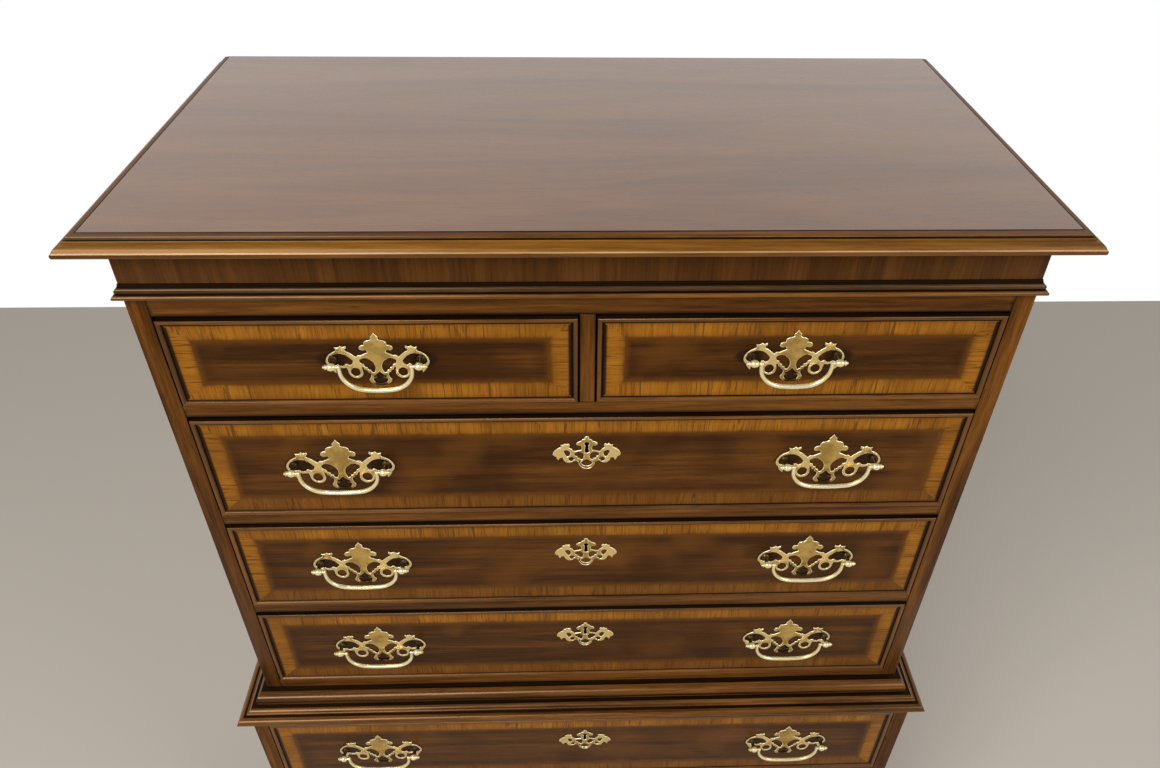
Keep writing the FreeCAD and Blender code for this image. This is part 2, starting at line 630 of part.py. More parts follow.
def escutcheon():
    """Pierced keyhole plate, drawn in hundredths of its width, with its keyhole round the origin."""
    half = [
        (0.0, 22.5), (6.0, 15.8), (15.5, 8.2), (7.9, 0.3), (18.8, -7.6), (26.0, 7.9), (37.6, 5.5),
        (49.7, -12.6), (41.8, -26.1), (23.9, -31.2), (12.2, -28.6), (12.5, -34.0), (0.0, -44.9)]
    oval = [(5.0, -18.7), (11.6, -8.7), (18.4, -11.0)]
    keyhole = [(0.0, 9.3), (3.3, 6.3), (3.2, -9.1), (0.0, -9.1)]
    drop = [(0.0, -23.0), (7.6, -31.0), (0.0, -37.5)]
    return pierced(half, [keyhole, drop], [oval], ESCUTCHEON_WIDTH / 100)


def ring(radius, sides, place):
    """Corners of a regular ring, with a flat side at each end of its second axis."""
    corners = []
    for k in range(sides):
        angle = 2 * math.pi * (k + 0.5) / sides
        corners.append(place(radius * math.cos(angle), radius * math.sin(angle)))
    return corners


def turned(stations, sides, place):
    """Faceted turning through (distance along its axis, radius)."""
    return ring_solid([ring(r, sides, lambda a, b, t=t: place(t, a, b)) for t, r in stations])


def post(side):
    """Post of a bail pull, standing on the plate; its head points outwards, side being 1 or -1."""
    y_face = -PLATE_THICKNESS
    y_axis = y_face - POST_STANDOFF
    stem = turned([(y_face, POST_FOOT_RADIUS), (y_axis, STEM_RADIUS)],
                  POST_SIDES, lambda t, a, b: vec(a, t, b))
    inner = -HEAD_RADIUS
    profile = [(-1.0, 0.71), (0.0, 1.0), (0.79, 0.46), (1.67, 0.33)]   # in head radii: ball, neck, button
    head = turned([(t * HEAD_RADIUS, r * HEAD_RADIUS) for t, r in profile],
                  POST_SIDES, lambda t, a, b: vec(side * t, y_axis + a, b))
    eye_radius = (PIN_RADIUS + EYE_GAP) / math.cos(math.pi / PIN_SIDES)
    eye = turned([(inner - CUT_PAST, eye_radius), (inner + EYE_DEPTH, eye_radius)],
                 PIN_SIDES, lambda t, a, b: vec(side * t, y_axis + a, b))
    return stem.fuse(head).cut(eye).removeSplitter().Solids[0]


def bail(boring):
    """Swinging handle, hanging plumb from its pins; its pivot axis is at the origin."""
    half = boring / 2 - BAIL_INSET
    low = -BAIL_DROP
    shoulder = half + BAIL_LEG_RADIUS
    # right half of the centre line, in drops from the leg: (across, down) and its heading
    drawn = [(0.0, 0.03, -0.7, -0.7), (-0.01, 0.42, -0.15, -0.99), (-0.27, 0.81, -0.66, -0.75),
             (-0.81, 1.0, -1.0, 0.0)]
    path = [(shoulder, 0.0, -1.0, 0.0)]
    path += [(half + across * BAIL_DROP, down * low, dx, dz) for across, down, dx, dz in drawn]
    rings = []
    for x, z, dx, dz in path + [(-x, z, dx, -dz) for x, z, dx, dz in reversed(path)]:
        radius = BAIL_LEG_RADIUS + (BAIL_GRIP_RADIUS - BAIL_LEG_RADIUS) * z / low
        rings.append(ring(radius, BAIL_SIDES, lambda a, b: vec(x - dz * a, b, z + dx * a)))
    reach = BAIL_INSET - BAIL_LEG_RADIUS - PIN_END_GAP
    pins = [turned([(shoulder, PIN_RADIUS), (shoulder + reach, PIN_RADIUS)], PIN_SIDES,
                   lambda t, a, b: vec(side * t, a, b)) for side in (-1, 1)]
    return ring_solid(rings).multiFuse(pins).removeSplitter().Solids[0]


def make_brasses(drawers):
    plates = {b: batwing_plate(b) for b in (LONG_BORING, SHORT_BORING)}
    bails = {b: bail(b) for b in (LONG_BORING, SHORT_BORING)}
    posts = {side: post(side) for side in (-1, 1)}
    key_plate = escutcheon()

    def moved(shape, x, y, z):
        copy = shape.copy()
        copy.translate(vec(x, y, z))
        return copy

    for d in drawers:
        solids = []
        for side_name, x in d.pulls:
            solids.append(moved(plates[d.boring], x, d.front, d.post_z))
            for side in (-1, 1):
                solids.append(moved(posts[side], x + side * d.boring / 2, d.front, d.post_z))
            y_axis = d.front - PLATE_THICKNESS - POST_STANDOFF
            node = d.name + "_bail" + ("_" + side_name if side_name else "")
            save(node, [moved(bails[d.boring], x, y_axis, d.post_z)])
        if d.keyhole:
            solids.append(moved(key_plate, 0.0, d.front, d.key_z))
        save(d.name + "_brasses", solids)


def build():
    os.makedirs("parts", exist_ok=True)
    make_case_sides()
    make_front_rails()
    make_inner_frames()
    make_mouldings()
    make_feet()
    drawers = drawer_list()
    for d in drawers:
        make_drawer(d)
    make_brasses(drawers)


build()
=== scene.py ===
import json
import math

import bpy
from mathutils import Matrix, Vector

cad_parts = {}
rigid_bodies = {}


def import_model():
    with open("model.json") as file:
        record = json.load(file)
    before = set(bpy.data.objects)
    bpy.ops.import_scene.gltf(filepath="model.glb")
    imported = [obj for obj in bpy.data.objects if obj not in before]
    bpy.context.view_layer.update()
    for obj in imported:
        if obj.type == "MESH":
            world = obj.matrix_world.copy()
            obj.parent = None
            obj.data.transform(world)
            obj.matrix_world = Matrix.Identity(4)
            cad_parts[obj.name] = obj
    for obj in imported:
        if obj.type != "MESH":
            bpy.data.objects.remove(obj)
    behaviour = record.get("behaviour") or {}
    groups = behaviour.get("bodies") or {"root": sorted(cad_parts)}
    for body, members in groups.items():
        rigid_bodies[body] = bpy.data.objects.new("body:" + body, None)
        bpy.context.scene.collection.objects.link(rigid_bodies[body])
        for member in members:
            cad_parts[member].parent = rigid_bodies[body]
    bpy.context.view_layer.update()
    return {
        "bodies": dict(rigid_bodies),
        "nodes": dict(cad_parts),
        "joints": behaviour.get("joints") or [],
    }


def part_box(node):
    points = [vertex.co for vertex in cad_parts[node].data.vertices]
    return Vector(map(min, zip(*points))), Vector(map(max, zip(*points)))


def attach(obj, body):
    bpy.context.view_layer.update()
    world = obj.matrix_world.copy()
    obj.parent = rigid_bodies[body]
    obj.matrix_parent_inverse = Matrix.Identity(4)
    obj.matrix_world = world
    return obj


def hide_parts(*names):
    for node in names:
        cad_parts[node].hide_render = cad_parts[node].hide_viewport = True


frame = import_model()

# ------------------------------ camera
# A hand-held camera in front of the chest and above it, looking down on the top and the fronts.
EYE = (-0.0205, -0.9430, 1.8572)
PITCH_DOWN = math.radians(38.24)
YAW = math.radians(-2.475)
ROLL = math.radians(1.022)
IMAGE_WIDTH = 1160.0
FOCAL_PIXELS = 893.6
CENTRE_PIXEL = 598.1


def linked(name, data):
    """A new object, put into the scene."""
    made = bpy.data.objects.new(name, data)
    bpy.context.collection.objects.link(made)
    return made


camera_data = bpy.data.cameras.new("camera")
camera = linked("camera", camera_data)
camera_data.sensor_fit = "HORIZONTAL"
camera_data.sensor_width = 36.0
camera_data.lens = camera_data.sensor_width * FOCAL_PIXELS / IMAGE_WIDTH
camera_data.shift_x = (IMAGE_WIDTH / 2 - CENTRE_PIXEL) / IMAGE_WIDTH
camera_data.clip_start = 0.05
camera_data.clip_end = 60.0
aim = Matrix.Rotation(YAW, 4, "Z") @ Matrix.Rotation(math.pi / 2 - PITCH_DOWN, 4, "X")
camera.matrix_world = Matrix.Translation(EYE) @ aim @ Matrix.Rotation(ROLL, 4, "Z")
bpy.context.scene.camera = camera

# ------------------------------ floor and light
# A plain pale floor that ends at a white background, a soft room light that is brightest low down
# behind the chest, and two large soft lamps.
bpy.context.scene.view_settings.view_transform = "Standard"

bpy.ops.mesh.primitive_plane_add(size=15.0, location=(0, -5.6, 0))
floor = bpy.context.object
floor.name = "floor"


def give(node, values):
    """Give a node's inputs their plain values or links."""
    for label, value in values.items():
        if isinstance(value, bpy.types.NodeSocket):
            node.id_data.links.new(value, node.inputs[label])
        else:
            node.inputs[label].default_value = value


def add_node(tree, kind, values=None, **settings):
    """A node of one kind, with its settings made and its inputs given."""
    node = tree.nodes.new("ShaderNode" + kind)
    for label, value in settings.items():
        setattr(node, label, value)
    give(node, values or {})
    return node


def new_material(name, values):
    """A material, with values for its Principled shader."""
    material = bpy.data.materials.new(name)
    material.use_nodes = True
    give(material.node_tree.nodes["Principled BSDF"], values)
    return material


def put_on(obj, *materials):
    """Put materials on an object in place of any that it has."""
    obj.data.materials.clear()
    for material in materials:
        obj.data.materials.append(material)


put_on(floor, new_material("pale_floor", {"Base Color": (0.57, 0.52, 0.455, 1), "Roughness": 0.8}))

world = bpy.data.worlds.new("soft_room")
bpy.context.scene.world = world
world.use_nodes = True
sky = world.node_tree
sky_place = add_node(sky, "TexCoord").outputs["Generated"]
sky_split = add_node(sky, "SeparateXYZ", {"Vector": sky_place})
sky_height = add_node(sky, "ValToRGB", {"Fac": sky_split.outputs["Z"]})
for stop, position, colour in zip(sky_height.color_ramp.elements, (0.50, 0.85),
                                  ((1.0, 0.98, 0.95, 1), (0.30, 0.29, 0.28, 1))):
    stop.position = position
    stop.color = colour
sky_depth = add_node(sky, "MapRange", {"Value": sky_split.outputs["Y"], "From Min": -0.6, "From Max": 0.6,
                                       "To Min": 0.36, "To Max": 1.0})
sky_tint = add_node(sky, "Mix", data_type="RGBA", blend_type="MULTIPLY")
give(sky_tint, {"Factor": 1.0, "A": sky_height.outputs["Color"], "B": sky_depth.outputs["Result"]})
room_light = sky.nodes["Background"]
give(room_light, {"Color": sky_tint.outputs["Result"], "Strength": 0.95})
backdrop = add_node(sky, "Background", {"Color": (1, 1, 1, 1)})
seen = add_node(sky, "MixShader", {"Fac": add_node(sky, "LightPath").outputs["Is Camera Ray"]})
sky.links.new(room_light.outputs[0], seen.inputs[1])
sky.links.new(backdrop.outputs[0], seen.inputs[2])
sky.links.new(seen.outputs[0], sky.nodes["World Output"].inputs["Surface"])


def soft_lamp(name, place, target, size, power):
    data = bpy.data.lights.new(name, "AREA")
    data.size = size
    data.energy = power
    lamp = linked(name, data)
    lamp.location = place
    lamp.rotation_euler = (Vector(target) - Vector(place)).to_track_quat("-Z", "Y").to_euler()


soft_lamp("key_lamp", (-1.6, -2.4, 3.4), (0, 0, 1.0), 1.8, 100.0)
soft_lamp("fill_lamp", (2.2, -1.8, 2.4), (0, 0, 0.8), 1.6, 32.0)

# ------------------------------ case sides, rails and partition
# Solid mahogany boards, planed, with their sharp edges eased by hand, and glued and housed together.
# The drawer openings and the lower front edges of the rails are painted black as shade, and black
# glaze fills the fine pores under the polish.
GRAIN_LONG = 3.0           # noise scale along the grain; each timber gives its own across it
EASED_EDGE = 0.0009
SHADE_EDGE = 0.0036
SHADE_DEEP = 0.0080
OUTER_SIDE = 0.3           # a face farther out than this and turned outward is an outer side
SOFFIT_REACH = 0.0011      # points this near a rail's underside belong to its lower edge


def group_with(name, inputs, outputs):
    """An empty node group with its sockets, and its two end nodes."""
    tree = bpy.data.node_groups.new(name, "ShaderNodeTree")
    for side, sockets in (("INPUT", inputs), ("OUTPUT", outputs)):
        for label, kind in sockets.items():
            tree.interface.new_socket(label, in_out=side, socket_type="NodeSocket" + kind)
    return tree, tree.nodes.new("NodeGroupInput"), tree.nodes.new("NodeGroupOutput")


def noise_node(vector, scale, detail, roughness=0.5, distortion=0.0):
    return add_node(vector.id_data, "TexNoise", {
        "Vector": vector, "Scale": scale, "Detail": detail, "Roughness": roughness,
        "Distortion": distortion}).outputs["Fac"]


def range_node(value, low, high, out_low=0.0, out_high=1.0):
    """A value brought softly from one range into another."""
    return add_node(value.id_data, "MapRange", {
        "Value": value, "From Min": low, "From Max": high, "To Min": out_low, "To Max": out_high},
        interpolation_type="SMOOTHSTEP").outputs["Result"]


def mix_node(mask, first, second):
    """The first colour where the mask is 0, the second where it is 1; each a socket or plain numbers."""
    node = add_node(mask.id_data, "Mix", data_type="RGBA")
    for label, value in (("Factor", mask), ("A", first), ("B", second)):
        target = [socket for socket in node.inputs if socket.name == label and socket.enabled][0]
        if isinstance(value, bpy.types.NodeSocket):
            node.id_data.links.new(value, target)
        else:
            target.default_value = (*value, 1)
    return [socket for socket in node.outputs if socket.enabled][0]


def math_node(operation, first, second=None):
    """Arithmetic on a socket, with another socket or a number where the operation needs one."""
    node = add_node(first.id_data, "Math", operation=operation)
    for socket, value in zip(node.inputs, (first, second)):
        if isinstance(value, bpy.types.NodeSocket):
            node.id_data.links.new(value, socket)
        elif value is not None:
            socket.default_value = value
    return node.outputs[0]


def times(first, second):
    return math_node("MULTIPLY", first, second)


def object_place(tree):
    return add_node(tree, "TexCoord").outputs["Object"]


def attribute(material, name, output="Fac"):
    return add_node(material.node_tree, "Attribute", attribute_name=name).outputs[output]


def lay_over(material, *layers):
    """Mix colours over a material's own, each through its mask."""
    shader = material.node_tree.nodes["Principled BSDF"]
    colour = shader.inputs["Base Color"].links[0].from_socket
    for mask, over in layers:
        colour = mix_node(mask, colour, over)
    give(shader, {"Base Color": colour})


grain, grain_in, grain_out = group_with(
    "mahogany_grain",
    {"Vector": "Vector", "Dark": "Color", "Middle": "Color", "Light": "Color", "Pore Strength": "Float"},
    {"Color": "Color", "Roughness": "Float", "Height": "Float"})
grain_place, dark_tone, middle_tone, light_tone, pore_strength = list(grain_in.outputs)[:5]
figure = noise_node(grain_place, 0.55, 3.0, 0.55, 0.9)
streak = noise_node(grain_place, 4.0, 6.0, 0.68, 0.3)
pores = noise_node(grain_place, 17.0, 2.0, 0.6)
fine = range_node(streak, 0.30, 0.70)
tone = times(range_node(figure, 0.28, 0.72), 0.6)
tone = math_node("ADD", tone, times(fine, 0.4))
shade = mix_node(range_node(tone, 0.10, 0.55), dark_tone, middle_tone)
shade = mix_node(range_node(tone, 0.45, 0.95), shade, light_tone)
pore_mask = times(range_node(pores, 0.58, 0.72), pore_strength)
give(grain_out, {
    "Color": mix_node(pore_mask, shade, (0.010, 0.004, 0.0015)),
    "Roughness": range_node(fine, 0.0, 1.0, 0.26, 0.38),
    "Height": math_node("SUBTRACT", times(fine, 0.3), pore_mask)})


def timber(name, along, tones, pores=0.5, coat=0.0, shine=0.18, across=62.0, offset=0.0):
    """Polished timber with its grain along one axis (0, 1 or 2) and three tones, dark to light."""
    material = new_material(name, {
        "Specular IOR Level": shine, "Specular Tint": (1.0, 0.62, 0.30, 1), "Coat Weight": coat,
        "Coat Roughness": 0.10})
    tree = material.node_tree
    stretch = add_node(tree, "Mapping", {
        "Vector": object_place(tree), "Location": (offset, offset, offset),
        "Scale": [GRAIN_LONG if axis == along else across for axis in range(3)]})
    dark, middle, light = [(*colour, 1) for colour in tones]
    node = add_node(tree, "Group", node_tree=grain, name="grain")
    give(node, {"Vector": stretch.outputs["Vector"], "Dark": dark, "Middle": middle, "Light": light,
                "Pore Strength": pores})
    relief = add_node(tree, "Bump", {"Strength": 0.05, "Distance": 0.001, "Height": node.outputs["Height"]})
    give(tree.nodes["Principled BSDF"], {
        "Base Color": node.outputs["Color"], "Roughness": node.outputs["Roughness"],
        "Normal": relief.outputs["Normal"]})
    return material


def own_mesh(obj):
    """Make obj the only selected and active object."""
    bpy.ops.object.select_all(action="DESELECT")
    obj.select_set(True)
    bpy.context.view_layer.objects.active = obj


def edit(obj):
    """Open obj alone in edit mode, with all of it selected."""
    own_mesh(obj)
    bpy.ops.object.mode_set(mode="EDIT")
    bpy.ops.mesh.select_all(action="SELECT")


def leave_edit():
    bpy.ops.object.mode_set(mode="OBJECT")


def smooth(obj, degrees):
    own_mesh(obj)
    bpy.ops.object.shade_smooth_by_angle(angle=math.radians(degrees))


def planed(node, material):
    """A copy of one CAD node of the case with its facets joined and its edges eased."""
    piece = linked(node + "_planed", frame["nodes"][node].data.copy())
    edit(piece)
    bpy.ops.mesh.remove_doubles(threshold=0.00001)
    bpy.ops.mesh.dissolve_limited(angle_limit=math.radians(1))
    leave_edit()
    ease = piece.modifiers.new("ease", "BEVEL")
    ease.width = EASED_EDGE
    ease.segments = 2
    ease.limit_method = "ANGLE"
    ease.angle_limit = math.radians(30)
    bpy.ops.object.modifier_apply(modifier="ease")
    smooth(piece, 40)
    put_on(piece, material)
    for face in piece.data.polygons:
        face.material_index = 0
    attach(piece, "case")
    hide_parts(node)
    return piece


CASE_TONES = ((0.042, 0.0135, 0.0032), (0.098, 0.0345, 0.0060), (0.186, 0.0690, 0.0115))
# Near-black timber: real black glaze in the quirks, and painted shade in openings, gaps and hollows.
glaze_and_shade = timber("black_glaze", 0, ((0.006, 0.003, 0.0015), (0.010, 0.005, 0.002), (0.018, 0.008, 0.003)),
               shine=0.12)
case_across = timber("mahogany_rail", 0, CASE_TONES)
case_upright = timber("mahogany_stile", 2, CASE_TONES, offset=3.1)
case_return = timber("mahogany_return", 1, CASE_TONES, offset=1.7)
# Painted shade: the marked lower front edge of each rail is darkened almost to black.
lay_over(case_across, (times(attribute(case_across, "grime"), 0.92), (0.004, 0.0015, 0.0005)))


def shade_openings(piece):
    """Painted shade: the drawer openings are lined with black just behind their front edges."""
    front = min(vertex.co.y for vertex in piece.data.vertices)
    edit(piece)
    bpy.ops.mesh.select_mode(type="FACE")
    bpy.ops.mesh.bisect(plane_co=(0, front + SHADE_DEEP, 0), plane_no=(0, 1, 0))
    leave_edit()
    piece.data.materials.append(glaze_and_shade)
    for face in piece.data.polygons:
        x = face.center.x
        outside = abs(x) > OUTER_SIDE and x * face.normal.x > OUTER_SIDE
        if face.center.y < front + SHADE_DEEP and abs(face.normal.y) < 0.5 and not outside:
            face.material_index = 1


def shade_under_rails(piece):
    """Painted shade along the lower front edge of each rail, over the drawers: a narrow strip there is
    marked to be darkened almost to black.
    """
    soffits = {round(face.center.z, 4) for face in piece.data.polygons if face.normal.z < -0.9}
    for face in piece.data.polygons:
        face.select = face.normal.y < -0.99
    bpy.ops.object.mode_set(mode="EDIT")
    bpy.ops.mesh.inset(thickness=SHADE_EDGE)
    leave_edit()
    dark = piece.data.attributes.new("grime", "FLOAT", "POINT")
    for vertex, entry in zip(piece.data.vertices, dark.data):
        entry.value = float(any(abs(vertex.co.z - z) < SOFFIT_REACH for z in soffits))


for node in ("upper_left_side", "upper_right_side", "lower_left_side", "lower_right_side",
             "upper_partition"):
    shade_openings(planed(node, case_upright))
for node in ("upper_front_rails", "lower_front_rails"):
    rails = planed(node, case_across)
    shade_openings(rails)
    shade_under_rails(rails)

# ------------------------------ frieze
# A plain board above the top rail, veneered with upright grain of low contrast, and glued up
# under the top.
FRIEZE_TONES = ((0.058, 0.0200, 0.0040), (0.084, 0.0295, 0.0052), (0.118, 0.0430, 0.0080))
planed("frieze_board", timber("frieze_veneer", 2, FRIEZE_TONES, pores=0.35, across=84.0, offset=5.3))

# ------------------------------ top board
# A thick board with a moulded edge on the front and both ends: a small nosing, a dark quirk and a
# broad golden ogee. The upper face is polished to a mirror, with the grain from end to end.
MM = 0.001
upper_low, upper_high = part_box("upper_left_side")
UPPER_HALF = -upper_low.x
UPPER_FRONT = upper_low.y
BACK = upper_high.y
# In a moulding's list of materials the timber of the front is 0, that of the returns 1, and the black of
# glaze and painted shade 2.
# The top's list goes on with more such pairs and the veneer of its upper face.
HOLLOW, LIP, RUBBED_HIGHLIGHT, VENEER, PLAIN = 2, 3, 5, 7, 8
LARGE_FACE = 0.1           # square metres; only the upper and lower faces of the top are larger


def arc(start, middle, end, steps=6):
    """Points after start on the circle through three points of a section, up to end."""
    (x1, y1), (x2, y2), (x3, y3) = start, middle, end
    d = 2 * (x1 * (y2 - y3) + x2 * (y3 - y1) + x3 * (y1 - y2))
    s1, s2, s3 = x1 * x1 + y1 * y1, x2 * x2 + y2 * y2, x3 * x3 + y3 * y3
    cx = (s1 * (y2 - y3) + s2 * (y3 - y1) + s3 * (y1 - y2)) / d
    cy = (s1 * (x3 - x2) + s2 * (x1 - x3) + s3 * (x2 - x1)) / d
    radius = math.hypot(x1 - cx, y1 - cy)
    a1, a2, a3 = (math.atan2(y - cy, x - cx) for x, y in (start, middle, end))
    turn = (a3 - a1) % (2 * math.pi)
    if (a2 - a1) % (2 * math.pi) > turn:
        turn -= 2 * math.pi
    return [(cx + radius * math.cos(a1 + turn * k / steps), cy + radius * math.sin(a1 + turn * k / steps))
            for k in range(1, steps + 1)]


def section(*steps):
    """Section points in millimetres (out from the case, up), with (middle, end) pairs as arcs."""
    points = [steps[0]]
    for step in steps[1:]:
        if isinstance(step[0], tuple):
            points += arc(points[-1], *step)
        else:
            points.append(step)
    return points


def apply_all():
    bpy.ops.object.transform_apply(location=True, rotation=True, scale=True)


def flat_face(name, x, y, z):
    """A level rectangle between two x and two y, open in edit mode, to raise a shape from."""
    bpy.ops.object.select_all(action="DESELECT")
    bpy.ops.mesh.primitive_plane_add(size=1.0, location=((x[0] + x[1]) / 2, (y[0] + y[1]) / 2, z))
    made = bpy.context.object
    made.name = name
    made.scale = (x[1] - x[0], y[1] - y[0], 1)
    apply_all()
    edit(made)
    bpy.ops.mesh.select_mode(type="FACE")
    return made


def face_outward(merge=0.000005):
    """Join doubled points, turn all faces outward and leave edit mode."""
    bpy.ops.mesh.select_all(action="SELECT")
    if merge:
        bpy.ops.mesh.remove_doubles(threshold=merge)
    bpy.ops.mesh.normals_make_consistent(inside=False)
    leave_edit()


def moulding(node, word, half, front, points, materials, hollows, whole_board=False):
    """Carry a section round a case's front and sides by extruding and widening a plane.

    The grain follows each length, divided at the mitres; black glaze and painted shade lie in the hollows,
    given by height.
    """
    base_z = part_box(node)[0].z
    out, up = points[0]
    wide, deep = half + out * MM, BACK - front + out * MM
    strip = flat_face(node + word, (-wide, wide), (BACK - deep, BACK), base_z + up * MM)
    if not whole_board:
        bpy.ops.mesh.delete(type="ONLY_FACE")
        bpy.ops.mesh.select_mode(type="EDGE")
        leave_edit()
        for edge in strip.data.edges:
            edge.select = not all(strip.data.vertices[v].co.y > BACK - 1e-5 for v in edge.vertices)
        bpy.ops.object.mode_set(mode="EDIT")
    extrude = bpy.ops.mesh.extrude_region_move if whole_board else bpy.ops.mesh.extrude_edges_move
    for next_out, next_up in points[1:]:
        next_wide, next_deep = half + next_out * MM, BACK - front + next_out * MM
        extrude(TRANSFORM_OT_translate={"value": (0, 0, (next_up - up) * MM)})
        bpy.ops.transform.resize(value=(next_wide / wide, next_deep / deep, 1),
                                 center_override=(0, BACK, 0))
        up, wide, deep = next_up, next_wide, next_deep
    face_outward()
    put_on(strip, *materials)
    for face in strip.data.polygons:
        up = (face.center.z - base_z) / MM
        face.material_index = int(abs(face.center.x) - half > front - face.center.y)
        if any(low < up < high for low, high in hollows):
            face.material_index = HOLLOW
    smooth(strip, 32)
    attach(strip, "case")
    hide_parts(node)
    return strip, base_z


def strip_timbers(name, tones, pores, coat, shine, offsets=(0.0, 0.0)):
    """The same timber twice, for the length across the front and for the returns on the sides."""
    return [timber(name + word, along, tones, pores=pores, coat=coat, shine=shine, offset=offset)
            for word, along, offset in (("_front", 0, offsets[0]), ("_return", 1, offsets[1]))]


edge_timbers = strip_timbers(
    "moulding", ((0.090, 0.032, 0.0040), (0.170, 0.066, 0.0072), (0.250, 0.106, 0.0120)), 0.3, 0.04, 0.4)
lip_timbers = strip_timbers(
    "lip", ((0.050, 0.017, 0.0030), (0.092, 0.033, 0.0048), (0.150, 0.056, 0.0085)),
    0.3, 0.15, 0.6, (1.3, 1.9))
# Paler, shinier timber for the lip's crest and the nosing's edge: a painted highlight, partly edge wear.
highlight_and_wear_timbers = strip_timbers(
    "rubbed", ((0.200, 0.100, 0.042), (0.330, 0.180, 0.085), (0.480, 0.300, 0.160)),
    0.2, 0.3, 0.8, (1.3, 1.9))
top_veneer = timber("top_veneer", 0, ((0.105, 0.038, 0.013), (0.150, 0.058, 0.019), (0.190, 0.080, 0.026)),
                    pores=0.2, coat=1.0, shine=0.12, across=22.0)
give(top_veneer.node_tree.nodes["Principled BSDF"], {"Coat Roughness": 0.06, "Coat IOR": 1.6})

top_piece, top_z = moulding("top_board", "_moulded", UPPER_HALF, UPPER_FRONT, section(
    (30.6, 0.0), (31.5, 0.4), ((32.0, 2.2), (31.7, 4.6)), (31.2, 5.1), (30.7, 5.6),
    ((28.1, 9.0), (22.9, 10.9)), (22.7, 11.9), ((22.4, 12.8), (21.6, 13.2)), (20.1, 13.4), (19.6, 14.0),
    ((19.5, 15.6), (18.2, 16.3)), (14.0, 16.7), (13.6, 16.3), (12.9, 16.3), (12.5, 17.0)),
    (*edge_timbers, glaze_and_shade, *lip_timbers, *highlight_and_wear_timbers, top_veneer, case_across, case_return),
    [(12.9, 13.9)], whole_board=True)
for face in top_piece.data.polygons:
    up = (face.center.z - top_z) / MM
    out = max(abs(face.center.x) - UPPER_HALF, UPPER_FRONT - face.center.y) / MM
    if face.normal.z > 0.99 and face.area > LARGE_FACE:
        face.material_index = VENEER
        face.use_smooth = False
    elif up > 15 and out < 13.9:
        face.material_index = HOLLOW
    elif up > 15 and out < 18:
        face.material_index += PLAIN
    elif up < 4.4 or up > 14.3:
        face.material_index += LIP
    # Painted highlight, partly wear, along the crest of the lip and the edge of the nosing.
    elif up < 5.7 or up > 13.9:
        face.material_index += RUBBED_HIGHLIGHT

# ------------------------------ neck moulding
# A thin moulding that covers the joint of frieze and top rail: a rounded nosing below, a cove painted
# dark as shade, and a bead. It is mitred at the front corners and butts square at the back.
COVE_SHADE = 3                 # where the pair of timbers painted dark as shade begins in the neck's list of materials
glazed_timbers = strip_timbers(
    "glazed", ((0.048, 0.0160, 0.0032), (0.108, 0.0385, 0.0065), (0.200, 0.0760, 0.0125)),
    0.4, 0.10, 0.7, (2.2, 2.9))
cove_shade_timbers = strip_timbers(
    "smoked", ((0.020, 0.0090, 0.0035), (0.044, 0.0215, 0.0090), (0.085, 0.0440, 0.0200)),
    0.4, 0.0, 0.5, (3.2, 3.9))
neck_piece, neck_z = moulding("neck_moulding", "_struck", UPPER_HALF, UPPER_FRONT, section(
    (0.0, 0.0), (5.6, 0.0), (6.8, 0.6), ((7.4, 2.2), (6.6, 4.0)), (5.6, 4.9), (3.9, 5.3), (3.8, 6.6),
    ((4.2, 8.4), (1.9, 11.2)), (1.2, 11.6), (1.2, 13.0), (0.6, 13.2), (0.6, 15.0), (0.0, 15.0)),
    (*glazed_timbers, glaze_and_shade, *cove_shade_timbers), [(4.9, 6.7), (11.3, 15.1)])
for face in neck_piece.data.polygons:
    if 6.7 < (face.center.z - neck_z) / MM < 11.3:
        face.material_index += COVE_SHADE

# ------------------------------ waist moulding
# The wide stepped moulding round the foot of the upper case, which drops inside it: a nosing and a
# cove that reach out over the lower case, a flat, a quarter round and a small cove under a bead.
moulding("waist_moulding", "_struck", UPPER_HALF, UPPER_FRONT, section(
    (25.0, 0.0), (38.4, 0.0), ((39.0, 2.0), (38.6, 3.6)), ((36.6, 6.6), (31.4, 8.8)), (29.6, 9.1),
    (27.6, 9.8), (27.2, 11.2), (26.4, 11.8), ((23.4, 13.2), (21.4, 16.2)), (15.0, 15.8), (14.8, 17.4),
    (14.2, 17.9), (14.1, 18.8), ((14.6, 23.0), (12.1, 27.0)), (9.4, 28.8), (7.8, 29.4), (7.2, 30.2),
    (7.1, 34.9), (0.0, 36.6)),
    (*glazed_timbers, glaze_and_shade), [(8.85, 9.75), (15.75, 16.3), (17.45, 18.8), (34.95, 36.5)])

# ------------------------------ base moulding
# A square plinth member with a small round and a cove above it, glued round the foot of the lower
# case, mitred at the front corners.
lower_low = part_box("lower_left_side")[0]
LOWER_HALF = -lower_low.x
LOWER_FRONT = lower_low.y
moulding("base_moulding", "_struck", LOWER_HALF, LOWER_FRONT, section(
    (0.0, 0.0), (15.0, 0.0), (15.0, 11.0), (13.0, 12.4), ((12.0, 17.0), (8.0, 19.6)),
    ((4.4, 22.6), (3.4, 28.0)), (2.0, 28.6), (1.6, 31.6), (0.0, 32.0)),
    (*glazed_timbers, glaze_and_shade), [(11.1, 12.8), (19.7, 22.0)])

# ------------------------------ feet
# Ogee bracket feet, sawn to shape and mitred at the front corners, each with a glue block in its
# inner corner. The rear feet have an ogee bracket on the side and a plain board across the back.
FOOT_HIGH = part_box("base_moulding")[0].z
BLOCK = 0.034
BLOCK_LIFT = 0.003
FOOT_LONG = 150.0          # this and the next four are in millimetres
FOOT_IN = 12.0             # how far a bracket's board reaches in under the case
FOOT_OUT = 15.0            # how far its mitred corner stands out from the case
SAW_OVER = 2.0
BACK_BOARD = 20.0


